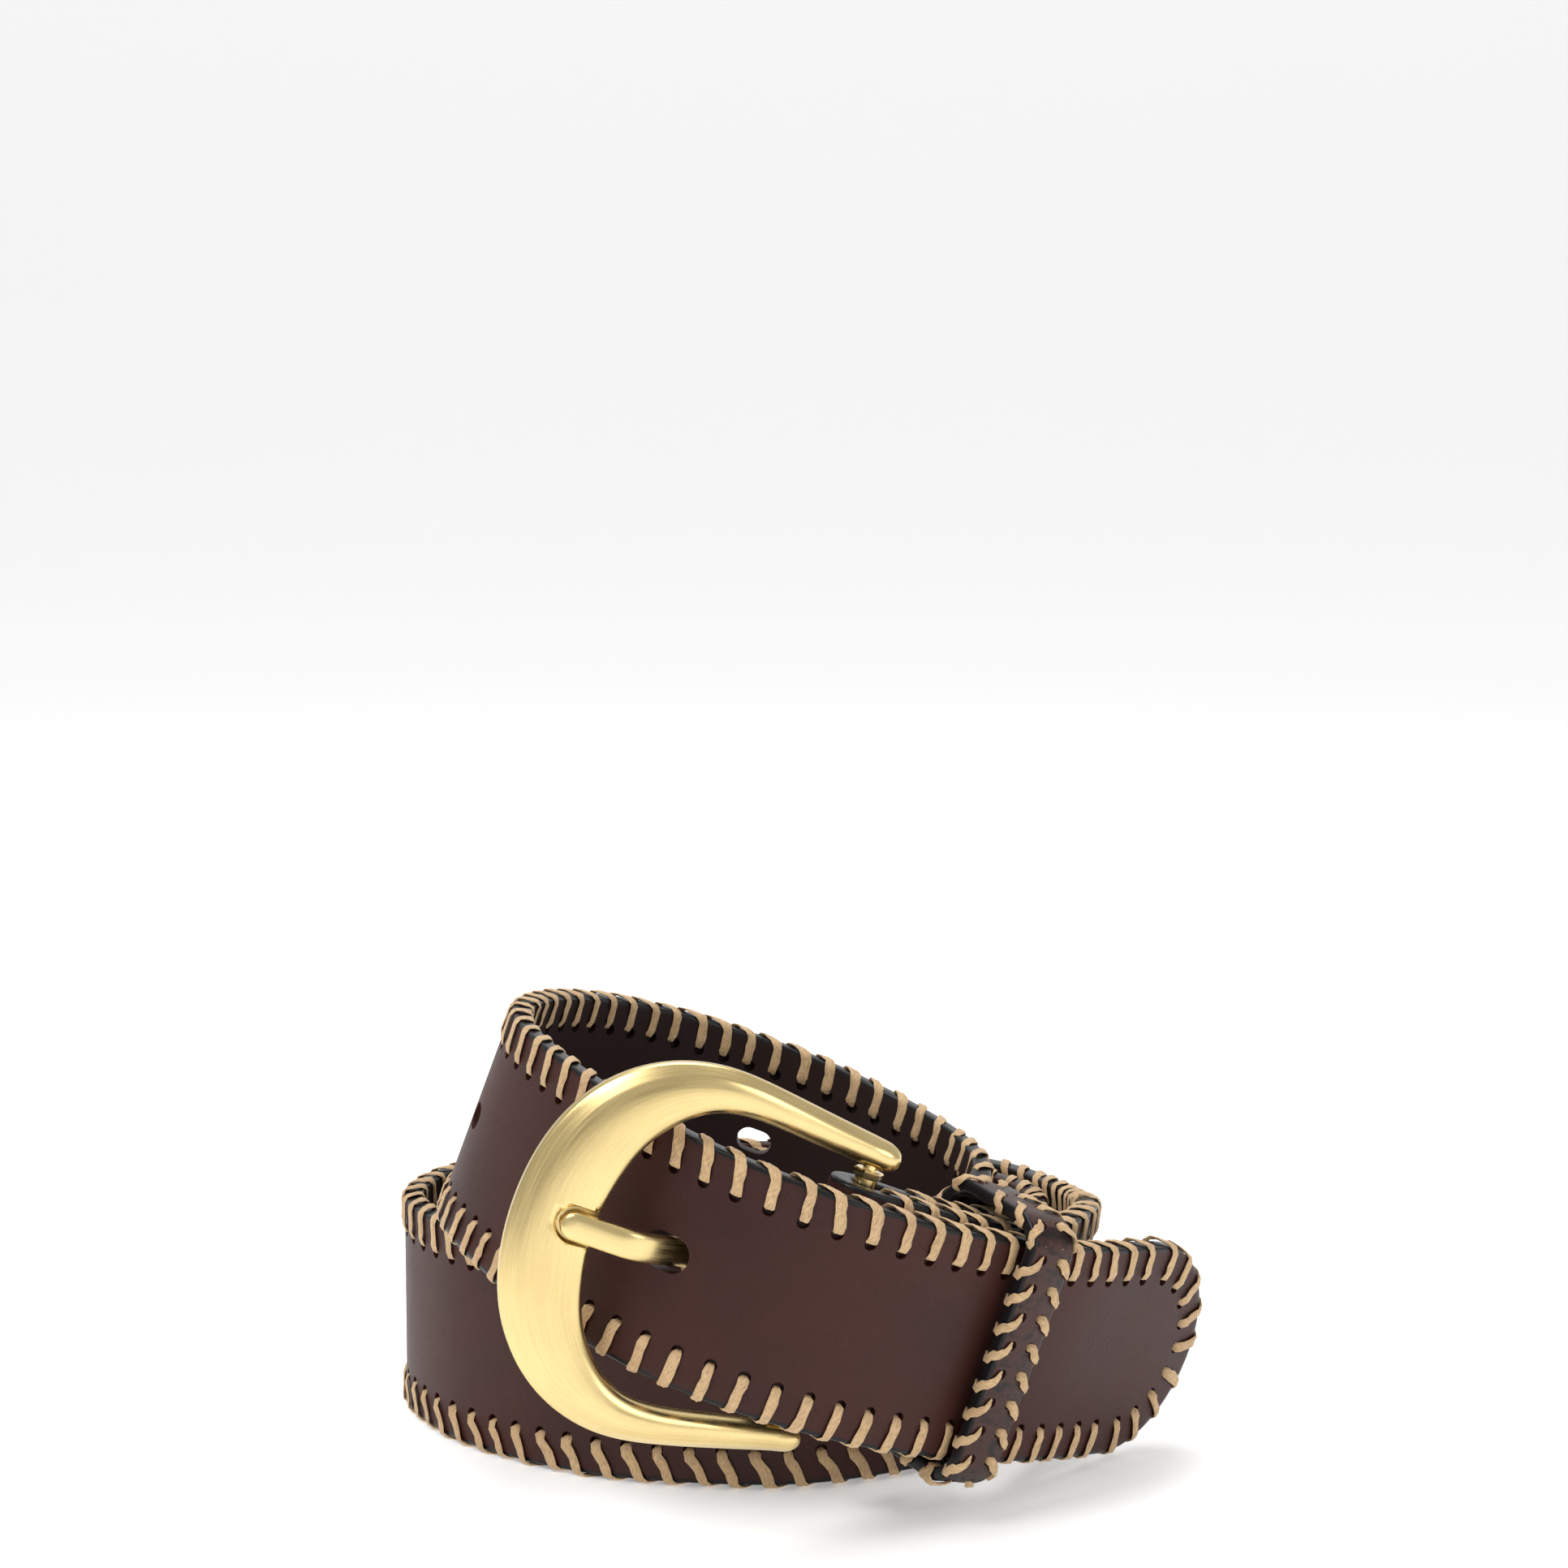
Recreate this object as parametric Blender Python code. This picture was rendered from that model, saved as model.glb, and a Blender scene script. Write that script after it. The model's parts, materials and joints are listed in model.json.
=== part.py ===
"""Laced leather belt, coiled and buckled.

Every size is in millimetres here and is turned into metres when a mesh is
made. The strap stands on its long edge: two full turns stand on the floor,
the last turn climbs over them, passes through the buckle and runs down to the
tip. +X runs along the coil, +Z is up, the buckle faces -Y.
"""
import math

import bmesh
import bpy
import numpy as np
from mathutils import Matrix, Vector

# ---------------------------------------------------------------- dimensions
STRAP_WIDTH = 40.0          # edge to edge
STRAP_THICKNESS = 3.6
EDGE_CHAMFER = 0.8
TIP_LENGTH = 21.0           # length of the rounded end
COIL_LENGTH = 130.0         # along X, centre line of the outer turn
COIL_DEPTH = 96.0           # along Y, centre line of the outer turn

LACE_THICKNESS = 0.5        # lacing laid over an edge
LACE_GAP = 0.3              # lacing to leather
LACE_REACH = 7.2            # how far the lacing comes in from the edge
LACE_CLEAR = 0.35           # air between two laced layers

TIP_LIFT = 1.3              # the tip curls up this much
RIDE_HEIGHT = 2.0           # air under the top turn where it crosses the coil
BUCKLE_RISE = 20.6          # heel bar above the middle of the lower turns
FOLD_TILT = 14.0            # lean of the heel bar, degrees
FLAP_LENGTH = 43.0          # folded end, from heel bar to its end

HOLE_PITCH = 30.5           # belt holes
HOLE_COUNT = 7
HOLE_WIDTH = 6.2
USED_HOLE_LENGTH = 9.0
SPARE_HOLE_LENGTH = 7.0

BAR_RADIUS = 2.0            # heel bar
SPIGOT_RADIUS = 1.2
SPIGOT_LENGTH = 3.6
OPENING_PLAY = 5.4          # strap edge to the arm, at the widest
BUCKLE_REACH = 41.8         # heel bar to the inside of the wide side
BUCKLE_SIDE = 13.8          # width of the wide side
BUCKLE_ARM = 6.2            # width of an arm
BUCKLE_BACK = 1.8           # heel bar centre to the flat back
BUCKLE_DOME = 2.7           # heel bar centre to the crown of the front
BUCKLE_CAMBER = 3.5         # rise of the arms over a straight line
NOTCH_DEPTH = 1.6
HOLE_HEIGHT = 0.37           # leather in the used hole, part of the prong's climb
PRONG_WIDTH = 5.2
PRONG_THICKNESS = 2.4
PRONG_SEAT = 6.2            # how far the prong reaches over the wide side
PRONG_EYE = 3.9             # outside radius of the eye round the bar

KEEPER_WIDTH = 9.8
KEEPER_THICKNESS = 2.4
KEEPER_PLAY = 0.35          # keeper to what it holds
KEEPER_AT = 32.5            # heel bar to the middle of the keeper

SCREW_HEAD_RADIUS = 3.6
SCREW_HEAD = 0.9
SCREW_BARREL = 2.4
SCREW_SHANK = 1.2
SCREW_FROM_BAR = 18.8
SCREW_APART = 17.0          # across the strap

GAP = 0.3                   # between touching parts

# ------------------------------------------------------------ derived sizes
COVER = LACE_GAP + LACE_THICKNESS
HALF = STRAP_WIDTH / 2
FLOOR_MID = COVER + HALF                      # centre height, lower turns
FOLD_RADIUS = BAR_RADIUS + GAP + STRAP_THICKNESS / 2
LAYER = STRAP_THICKNESS + 2 * COVER + LACE_CLEAR   # laced layer to laced layer
BUCKLE_OPENING = STRAP_WIDTH + 2 * OPENING_PLAY
BAR_HALF = BUCKLE_OPENING / 2 - 0.42 * BUCKLE_ARM - GAP   # inside of an arm, at the bar
SIDE_MID = BUCKLE_REACH + BUCKLE_SIDE / 2
SX = COIL_LENGTH / 130.0
SY = COIL_DEPTH / 96.0

# The top turn lies in a plane that rests near the floor by the tip and rides
# over the lower turns on the far left; both ends give its lean.
X_OVER, X_REST = -54.0 * SX, 60.0 * SX
LEAN = math.atan((STRAP_WIDTH + 2 * COVER + RIDE_HEIGHT * 0.3) / (X_REST - X_OVER))
PLANE = (X_REST * math.sin(LEAN)
         + math.cos(LEAN) * (RIDE_HEIGHT + (HALF + COVER) * math.cos(LEAN)))

# Top turn, tip first: x, y and how much of the full lean it has there.
TOP_TURN = (
    (74, -21, 0.86), (66, -31.5, 0.86), (56, -44, 0.88), (45, -57, 0.90),
    (33, -68, 0.94), (20, -77.5, 0.98), (5, -84, 1), (-11, -84, 1),
    (-26, -76.5, 1), (-38, -65.5, 1), (-47, -52, 1), (-53.3, -36, 1),
    (-53.6, -19.5, 1), (-49.5, -4, 1), (-41, 11, 1), (-29, 22, 1),
    (-14, 27.5, 1), (2, 26.5, 1), (16, 19.5, 0.98), (26.5, 7.5, 0.95),
    (31, -7, 0.86), (29.5, -19.5, 0.62), (21, -29, 0.34), (8, -34.5, 0.12),
    (-8, -37.5, 0),
)
# Lower turns, standing on the floor, from inside to outside.
INNER_TURN = (
    (-30, -34.5), (-48, -22), (-59, -6), (-61, 9), (-53, 25), (-36, 35),
    (-10, 39.5), (15, 37.5), (36, 25.5), (47, 8), (46.5, -11), (36, -28.5),
    (17, -42.5),
)
OUTER_TURN = (
    (1.5, -48), (-10, -48), (-22, -46), (-33, -42.5), (-43, -37),
    (-52.5, -29.5), (-60.5, -21), (-66.5, -11), (-70.5, 0), (-70.5, 13),
    (-65, 26), (-52, 38), (-32, 46), (-8, 48), (14, 46), (32.5, 38),
    (45, 27),
)
# From the floor up to the buckle: x, y, part of BUCKLE_RISE, lean in degrees.
CLIMB = (
    (52, 13, 0.01, 0), (54.8, -3, 0.07, 2), (53.8, -19, 0.2, 6),
    (50.4, -34, 0.33, 11),
)
# The last stretch lies behind the top turn: distance from the heel bar,
# part of BUCKLE_RISE, lean in degrees.
BEHIND = ((45.0, 0.42, 14.5), (34.0, 0.52, 16), (22.0, 0.675, 16), (10.0, 0.856, 15),
          (0.0, 1.0, FOLD_TILT))
BAR_ALONG = 92.8 * (SX + SY) / 2    # heel bar, measured along the top turn from the tip

MM = 0.001
PIVOTED = ("buckle_frame", "heel_bar", "prong")


# ------------------------------------------------------------------- helpers
def unit(v):
    return v / np.linalg.norm(v, axis=-1, keepdims=True)


def spline(points, samples):
    """Natural cubic spline through the points, spaced by chord length."""
    p = np.asarray(points, float)
    t = np.concatenate([[0], np.cumsum(np.linalg.norm(np.diff(p[:, :3], axis=0), axis=1))])
    h, n = np.diff(t), len(t)
    a, r = np.zeros((n, n)), np.zeros_like(p)
    a[0, 0] = a[-1, -1] = 1
    for i in range(1, n - 1):
        a[i, i - 1:i + 2] = h[i - 1], 2 * (h[i - 1] + h[i]), h[i]
        r[i] = 6 * ((p[i + 1] - p[i]) / h[i] - (p[i] - p[i - 1]) / h[i - 1])
    m = np.linalg.solve(a, r)
    q = np.linspace(0, t[-1], samples)
    k = np.clip(np.searchsorted(t, q) - 1, 0, n - 2)
    u, hk = (q - t[k])[:, None], h[k][:, None]
    w = hk - u
    return ((m[k] * w ** 3 + m[k + 1] * u ** 3) / (6 * hk)
            + (p[k] / hk - m[k] * hk / 6) * w + (p[k + 1] / hk - m[k + 1] * hk / 6) * u)


def smooth(values, width):
    pad = np.concatenate([np.full(width, values[0]), values, np.full(width, values[-1])])
    return np.convolve(pad, np.ones(2 * width + 1) / (2 * width + 1), "valid")


class Ribbon:
    """A centre line with the direction across the strap at every point."""

    def __init__(self, centre, lean):
        self.c = centre
        self.s = np.concatenate([[0], np.cumsum(np.linalg.norm(np.diff(centre, axis=0), axis=1))])
        self.t = unit(np.gradient(centre, self.s, axis=0))
        b = np.stack([np.sin(lean), 0 * lean, np.cos(lean)], 1)
        self.b = unit(b - (b * self.t).sum(1)[:, None] * self.t)
        self.n = np.cross(self.b, self.t)
        self.lean = lean

    def at(self, s):
        """Centre, tangent, across and outward at a distance along the line."""
        c, t, b = (np.array([np.interp(s, self.s, v[:, k]) for k in range(3)])
                   for v in (self.c, self.t, self.b))
        t = unit(t)
        b = unit(b - (b @ t) * t)
        return c, t, b, np.cross(b, t)


def plane_z(x):
    return (PLANE - x * math.sin(LEAN)) / math.cos(LEAN)


def strap_path():
    """Centre line from the tip to the heel bar."""
    rows = []
    for x, y, m in TOP_TURN:
        x, y = x * SX, y * SY
        lift = TIP_LIFT * max(0.0, (x / SX - 20) / 45) if y < -20 else 0.0
        rows.append((x, y, (1 - m) * FLOOR_MID + m * plane_z(x) + lift, m * LEAN))
    front = spline(rows, 1200)
    front = Ribbon(front[:, :3], front[:, 3])
    rows += [(x * SX, y * SY, FLOOR_MID, 0) for x, y in INNER_TURN + OUTER_TURN]
    rows += [(x * SX, y * SY, FLOOR_MID + f * BUCKLE_RISE, math.radians(a))
             for x, y, f, a in CLIMB]
    for back, f, a in BEHIND:
        c, t, b, n = front.at(BAR_ALONG - back)
        z = FLOOR_MID + f * BUCKLE_RISE
        away = LAYER + 0.15 + (0.6 if back > 40 else 0)
        c = c - away * n
        shift = (z - c[2]) / b[2]
        c = c + b * shift
        rows.append((*c, math.radians(a)))
    line = spline(rows, 5200)
    lean = smooth(line[:, 3], 30)
    lowest = ((HALF + COVER) * np.cos(lean)
              + (STRAP_THICKNESS / 2 + COVER) * np.abs(np.sin(lean)))
    line[:, 2] = np.maximum(line[:, 2], lowest)       # never below the floor
    return Ribbon(line[:, :3], lean)


def stations(ribbon, start, end, chord=0.1, low=2.4, high=9.0):
    """Distances along the strap, closer together where it bends more."""
    bend = np.linalg.norm(np.gradient(ribbon.t, ribbon.s, axis=0), axis=1)
    twist = np.abs(np.gradient(ribbon.lean, ribbon.s))
    bend = smooth(bend, 12) + 14 * smooth(twist, 12)
    out, s = [start], start
    while True:
        k = max(np.interp(s, ribbon.s, bend), np.interp(s + 4, ribbon.s, bend), 1e-4)
        s += min(high, max(low, math.sqrt(8 * chord / k)))
        if s > end - low * 0.6:
            break
        out.append(s)
    out.append(end)
    return out


def make_object(name, verts, faces, colour, roughness=0.5, metallic=0.0):
    mesh = bpy.data.meshes.new(name)
    mesh.from_pydata([tuple(float(x) * MM for x in v) for v in verts], [], faces)
    mesh.validate()
    bm = bmesh.new()
    bm.from_mesh(mesh)
    bmesh.ops.recalc_face_normals(bm, faces=bm.faces)
    if bm.calc_volume(signed=True) < 0:
        bmesh.ops.reverse_faces(bm, faces=bm.faces)
    bm.to_mesh(mesh)
    bm.free()
    ob = bpy.data.objects.new(name, mesh)
    bpy.context.scene.collection.objects.link(ob)
    mat = bpy.data.materials.new(name + "_mat")
    mat.use_nodes = True
    bsdf = mat.node_tree.nodes["Principled BSDF"]
    bsdf.inputs["Base Color"].default_value = (*colour, 1)
    bsdf.inputs["Roughness"].default_value = roughness
    bsdf.inputs["Metallic"].default_value = metallic
    mesh.materials.append(mat)
    return ob


def sweep(rings, closed=False):
    """Quads between rings of points, capped unless the path closes."""
    n = len(rings[0])
    verts = [p for ring in rings for p in ring]
    faces = []
    count = len(rings)
    for i in range(count if closed else count - 1):
        a, b = i * n, ((i + 1) % count) * n
        for j in range(n):
            k = (j + 1) % n
            faces.append((a + j, a + k, b + k, b + j))
    if not closed:
        faces.append(tuple(range(n)))
        faces.append(tuple((count - 1) * n + j for j in range(n)))
    return verts, faces


def prism(outline, origin, ax, ay, az, low, high):
    """Outline in the ax, ay plane pushed along az from low to high."""
    return sweep([[origin + x * ax + y * ay + h * az for x, y in outline]
                  for h in (low, high)])


def circle(radius, count=20):
    return [(radius * math.cos(2 * math.pi * k / count),
             radius * math.sin(2 * math.pi * k / count)) for k in range(count)]


def stadium(length, width, count=8):
    r, d = width / 2, (length - width) / 2
    out = []
    for side, start in ((1, -math.pi / 2), (-1, math.pi / 2)):
        for k in range(count + 1):
            a = start + math.pi * k / count
            out.append((side * d + r * math.cos(a), r * math.sin(a)))
    return out


def cut(ob, shapes):
    """Take closed shapes out of an object and keep the plain result."""
    for verts, faces in shapes:
        tool = make_object("cutter", verts, faces, (1, 0, 0))
        tool.hide_render = True
        tool.display_type = "WIRE"
        mod = ob.modifiers.new("cut", "BOOLEAN")
        mod.operation = "DIFFERENCE"
        mod.solver = "EXACT"
        mod.object = tool
        graph = bpy.context.evaluated_depsgraph_get()
        mesh = bpy.data.meshes.new_from_object(ob.evaluated_get(graph))
        ob.modifiers.remove(mod)
        old = ob.data
        ob.data = mesh
        mesh.name = ob.name
        bpy.data.meshes.remove(old)
        bpy.data.objects.remove(tool, do_unlink=True)
    bm = bmesh.new()
    bm.from_mesh(ob.data)
    bmesh.ops.remove_doubles(bm, verts=bm.verts, dist=2e-6)
    bmesh.ops.dissolve_degenerate(bm, dist=1e-6, edges=bm.edges)
    bm.to_mesh(ob.data)
    bm.free()
    while len(ob.data.materials) > 1:
        ob.data.materials.pop()


# ------------------------------------------------------------------- leather
def strap_section(c, b, n, half):
    k = min(EDGE_CHAMFER, half * 0.4)
    t = STRAP_THICKNESS / 2
    return [c + x * b + y * n for x, y in (
        (half - k, t), (half, t - k), (half, k - t), (half - k, -t),
        (k - half, -t), (-half, k - t), (-half, t - k), (k - half, t))]


def camber(x):
    """Rise of the buckle frame at a distance from the heel bar."""
    return BUCKLE_CAMBER * math.sin(math.pi * max(0.0, x) / (BUCKLE_REACH + BUCKLE_SIDE))


def tip_half(s):
    if s >= TIP_LENGTH:
        return HALF
    return max(3.0, HALF * math.sqrt(max(0.0, 1 - (1 - s / TIP_LENGTH) ** 2)))


def flap_spacing(back):
    """Distance from the strap to the folded end behind it."""
    f = min(1.0, max(0.0, (back - 0.5) / 10.5))
    f = f * f * (3 - 2 * f)
    return 2 * FOLD_RADIUS * (1 - f) + (LAYER + 0.1) * f


def build(ribbon):
    end = ribbon.s[-1]
    c_end, t_end, b_end, n_end = ribbon.at(end)
    bar = c_end - FOLD_RADIUS * n_end
    brown, edge = (0.043, 0.020, 0.016), 0.45
    tan = (0.55, 0.37, 0.19)
    brass = (0.72, 0.58, 0.30)

    # frame of the buckle: u along the prong, w along the bar, v outward
    w = b_end
    swing = -35.0
    top = [ribbon.at(s) for s in np.arange(40, 170, 1.5)]
    while swing < 30:
        a = math.radians(swing)
        u = math.cos(a) * t_end + math.sin(a) * n_end
        v = np.cross(w, u)
        v = v if v @ n_end > 0 else -v
        worst = -19.0
        for c, t, b, n in top:
            for k in (-1, -0.5, 0, 0.5, 1):
                p = c + b * HALF * k + n * (STRAP_THICKNESS / 2 + (COVER if abs(k) == 1 else 0)) - bar
                if BUCKLE_REACH - 1.5 - 7.0 * abs(k) ** 3 < p @ u < BUCKLE_REACH + BUCKLE_SIDE:
                    worst = max(worst, p @ v - camber(p @ u))
        if worst < -BUCKLE_BACK - 0.6:
            break
        swing += 0.25
    print("buckle swing", swing, "worst", round(worst, 2))

    def place(pu, pv, pw):
        return bar + pu * u + pv * v + pw * w

    # used hole: where the strap comes down through the plane of the buckle
    rest = camber(SIDE_MID) + BUCKLE_DOME - NOTCH_DEPTH + GAP + 0.15 + PRONG_THICKNESS / 2
    fall = (camber(SIDE_MID + 1) - camber(SIDE_MID - 1)) / 2
    low = -0.4
    v_hole = HOLE_HEIGHT * rest + (1 - HOLE_HEIGHT) * low
    used = None
    for s in np.arange(BAR_ALONG + 12, BAR_ALONG + 60, 0.1):
        c = ribbon.at(s)[0] - bar
        if c @ v < v_hole:
            used, u_hole, off = s, c @ u, c @ w
            break
    print("used hole from tip", round(used, 1), "along buckle", round(u_hole, 1),
          "off centre", round(off, 2), "strap length", round(end + FLAP_LENGTH, 1))

    # ---- strap: tip, coil, fold round the heel bar, flap
    rings, edge_rows = [], []
    tips = [TIP_LENGTH * (1 - math.cos(math.pi / 2 * k / 8)) for k in range(1, 9)]
    run = [0.25] + tips[:-1] + stations(ribbon, TIP_LENGTH, end)
    for s in run:
        c, t, b, n = ribbon.at(s)
        rings.append(strap_section(c, b, n, tip_half(s)))
    for k in range(1, 12):
        a = math.pi * k / 12
        c = bar + FOLD_RADIUS * (math.cos(a) * n_end + math.sin(a) * t_end)
        n = math.cos(a) * n_end + math.sin(a) * t_end
        rings.append(strap_section(c, b_end, n, HALF))
    backs = [0.0] + [x for x in np.arange(3.5, FLAP_LENGTH - 2, 4.5)] + [FLAP_LENGTH]
    for back in backs:
        c, t, b, n = ribbon.at(end - back)
        rings.append(strap_section(c - flap_spacing(back) * n, b, -n, HALF))
    strap = make_object("strap", *sweep(rings), brown, edge)

    tools = []
    for k in range(HOLE_COUNT):
        c, t, b, n = ribbon.at(used + k * HOLE_PITCH)
        mid = c - b * off if k == 0 else c
        tools.append(prism(stadium(USED_HOLE_LENGTH if k == 0 else SPARE_HOLE_LENGTH,
                                   HOLE_WIDTH if k == 0 else HOLE_WIDTH - 1.6),
                           mid, t, b, n, -4, 4))
    slot = stadium(16.0, PRONG_WIDTH + 1.2)
    reach = FOLD_RADIUS + STRAP_THICKNESS
    tools.append(prism([(x + 1.5, y) for x, y in slot], bar, t_end, b_end, n_end,
                       -reach - 1, reach))
    screws = []
    c, t, b, n = ribbon.at(end - SCREW_FROM_BAR)
    fold = flap_spacing(SCREW_FROM_BAR)
    for side in (1, -1):
        screws.append(c + side * SCREW_APART / 2 * b)
        tools.append(prism(circle(SCREW_BARREL + GAP, 16), screws[-1], t, b, n,
                           -fold - 4, 3))
    screw_t, screw_b, screw_n = t, b, n
    cut(strap, tools)

    # ---- lacing over the edges of the strap, once round the tip
    def lace_ring(c, out, n, reach_in=LACE_REACH):
        t0 = STRAP_THICKNESS / 2 + LACE_GAP
        t1 = t0 + LACE_THICKNESS
        e0, e1 = LACE_GAP, COVER
        return [c + x * out + y * n for x, y in (
            (-reach_in, t0), (-reach_in, t1), (e1, t1), (e1, -t1),
            (-reach_in, -t1), (-reach_in, -t0), (e0, -t0), (e0, t0))]

    last = end - 9.0
    along = [s for s in stations(ribbon, TIP_LENGTH, end) if s < last - 1.5] + [last]
    for label, side in (("upper", 1), ("lower", -1)):
        rows = []
        for s in reversed(along):
            c, t, b, n = ribbon.at(s)
            rows.append(lace_ring(c + side * b * HALF, side * b, n))
        for k in [1, 2, 3, 4, 5, 6, 7, 7.93]:
            a = math.pi * k / 16
            s = TIP_LENGTH * (1 - math.sin(a))
            c, t, b, n = ribbon.at(s)
            out = unit(-t * math.sin(a) * HALF + side * b * math.cos(a) * TIP_LENGTH)
            rows.append(lace_ring(c + side * b * HALF * math.cos(a), out, n))
        make_object("strap_lacing_" + label, *sweep(rows), tan, 0.7)

    # ---- lacing of the folded end
    for label, side in (("upper", 1), ("lower", -1)):
        rows = []
        for back in [8.0, 12.5, 17.0, 21.5, 26.0, 30.5, 35.0, 39.5, FLAP_LENGTH - 1.0]:
            c, t, b, n = ribbon.at(end - back)
            rows.append(lace_ring(c - flap_spacing(back) * n + side * b * HALF, side * b, n))
        make_object("flap_lacing_" + label, *sweep(rows), tan, 0.7)

    # ---- screws that hold the fold
    for label, c in zip("ab", screws):
        t, b, n = screw_t, screw_b, screw_n
        outer = STRAP_THICKNESS / 2 + GAP + 0.1
        inner = -fold - outer
        profile = [(0, outer + SCREW_HEAD), (SCREW_HEAD_RADIUS - 0.4, outer + SCREW_HEAD),
                   (SCREW_HEAD_RADIUS, outer + SCREW_HEAD - 0.4), (SCREW_HEAD_RADIUS, outer),
                   (SCREW_BARREL, outer), (SCREW_BARREL, inner + 0.5),
                   (SCREW_SHANK + GAP, inner + 0.5), (SCREW_SHANK + GAP, outer - 1.0),
                   (0, outer - 1.0)]
        make_object("screw_post_" + label, *lathe(profile, c, t, b, n), brass, 0.35, 1.0)
        profile = [(0, inner - SCREW_HEAD), (SCREW_HEAD_RADIUS - 0.4, inner - SCREW_HEAD),
                   (SCREW_HEAD_RADIUS, inner - SCREW_HEAD + 0.4), (SCREW_HEAD_RADIUS, inner),
                   (SCREW_SHANK, inner), (SCREW_SHANK, outer - 1.6), (0, outer - 1.6)]
        make_object("screw_" + label, *lathe(profile, c, t, b, n), brass, 0.35, 1.0)

    # ---- buckle frame: a C swept from one arm end round to the other
    half_open = BUCKLE_OPENING / 2
    shape = ((-0.033, 1.0, 0.39 * BUCKLE_ARM), (0.08, 1.03, 0.42 * BUCKLE_ARM),
             (0.245, 1.075, 0.46 * BUCKLE_ARM),
             (0.43, 1.125, 0.50 * BUCKLE_ARM), (0.613, 1.12, 0.63 * BUCKLE_ARM),
             (0.787, 0.97, 0.39 * BUCKLE_SIDE), (0.91, 0.71, 0.465 * BUCKLE_SIDE),
             (0.98, 0.355, 0.5 * BUCKLE_SIDE), (1.0, 0.0, 0.5 * BUCKLE_SIDE))
    rows = [(a * SIDE_MID, b_ * half_open, c_) for a, b_, c_ in shape]
    rows += [(a, -b_, c_) for a, b_, c_ in reversed(rows[:-1])]
    pts = np.array([(a, b_, 0.0, c_) for a, b_, c_ in rows])
    curve = spline(pts, 49)
    curve[:, 2] = 0
    d = unit(np.gradient(curve[:, :2], axis=0))
    rings = []

    def frame_ring(cu, cw, du, dw, half, crown, shrink=1.0):
        ou, ow = dw, -du                                    # across the bar of metal
        mid = (BUCKLE_DOME - BUCKLE_BACK) / 2
        out = []
        for x, z in ((1, -0.75), (0.9, -1), (-0.9, -1), (-1, -0.75), (-1, 0.1),
                     (-0.72, 0.72), (0, 1), (0.72, 0.72), (1, 0.1)):
            pu = cu + ou * x * half * shrink
            z = mid + crown * z * shrink + camber(pu)
            out.append(place(pu, z, cw + ow * x * half * shrink))
        return out

    crown = (BUCKLE_DOME + BUCKLE_BACK) / 2
    first, lastp = curve[0], curve[-1]
    for dist, shrink in ((1.0, 0.3), (0.92, 0.55), (0.62, 0.84)):
        e = first[:2] - d[0] * first[3] * dist * 1.25
        rings.append(frame_ring(e[0], e[1], d[0][0], d[0][1], first[3], crown, shrink))
    for row, dd in zip(curve, d):
        rings.append(frame_ring(row[0], row[1], dd[0], dd[1], row[3], crown))
    for dist, shrink in ((0.62, 0.84), (0.92, 0.55), (1.0, 0.3)):
        e = lastp[:2] + d[-1] * lastp[3] * dist * 1.3
        rings.append(frame_ring(e[0], e[1], d[-1][0], d[-1][1], lastp[3], crown, shrink))
    frame = make_object("buckle_frame", *sweep(rings), brass, 0.3, 1.0)
    bore = BAR_HALF + SPIGOT_LENGTH + GAP
    tip_at = BUCKLE_REACH + PRONG_SEAT
    long_ = 2 * PRONG_SEAT + 9
    notch = stadium(long_, PRONG_WIDTH + 1.2)
    at = tip_at + 0.6 - long_ / 2
    floor = rest - PRONG_THICKNESS / 2 - GAP - 0.15 + fall * (at - SIDE_MID)
    cut(frame, [prism(circle(SPIGOT_RADIUS + GAP, 14), bar, u, v, w, -bore, bore),
                prism(notch, place(at, floor, 0), unit(u + fall * v), w,
                      unit(v - fall * u), 0, 7)])

    # ---- heel bar
    reach = BAR_HALF
    tail = BAR_HALF + SPIGOT_LENGTH
    profile = [(0, -tail), (SPIGOT_RADIUS, -tail), (SPIGOT_RADIUS, -reach), (BAR_RADIUS, -reach),
               (BAR_RADIUS, reach), (SPIGOT_RADIUS, reach), (SPIGOT_RADIUS, tail), (0, tail)]
    make_object("heel_bar", *lathe(profile, bar, u, v, w, 12), brass, 0.3, 1.0)

    # ---- prong: eye round the bar, under the strap, up through the hole
    thick = PRONG_THICKNESS / 2

    def prong_mid(x):
        f = min(1.0, max(0.0, (x - (u_hole - 5.7)) / 14.0))
        f = f * f * (3 - 2 * f)
        high = rest + fall * (x - SIDE_MID)
        return low + (high - low) * f

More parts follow.
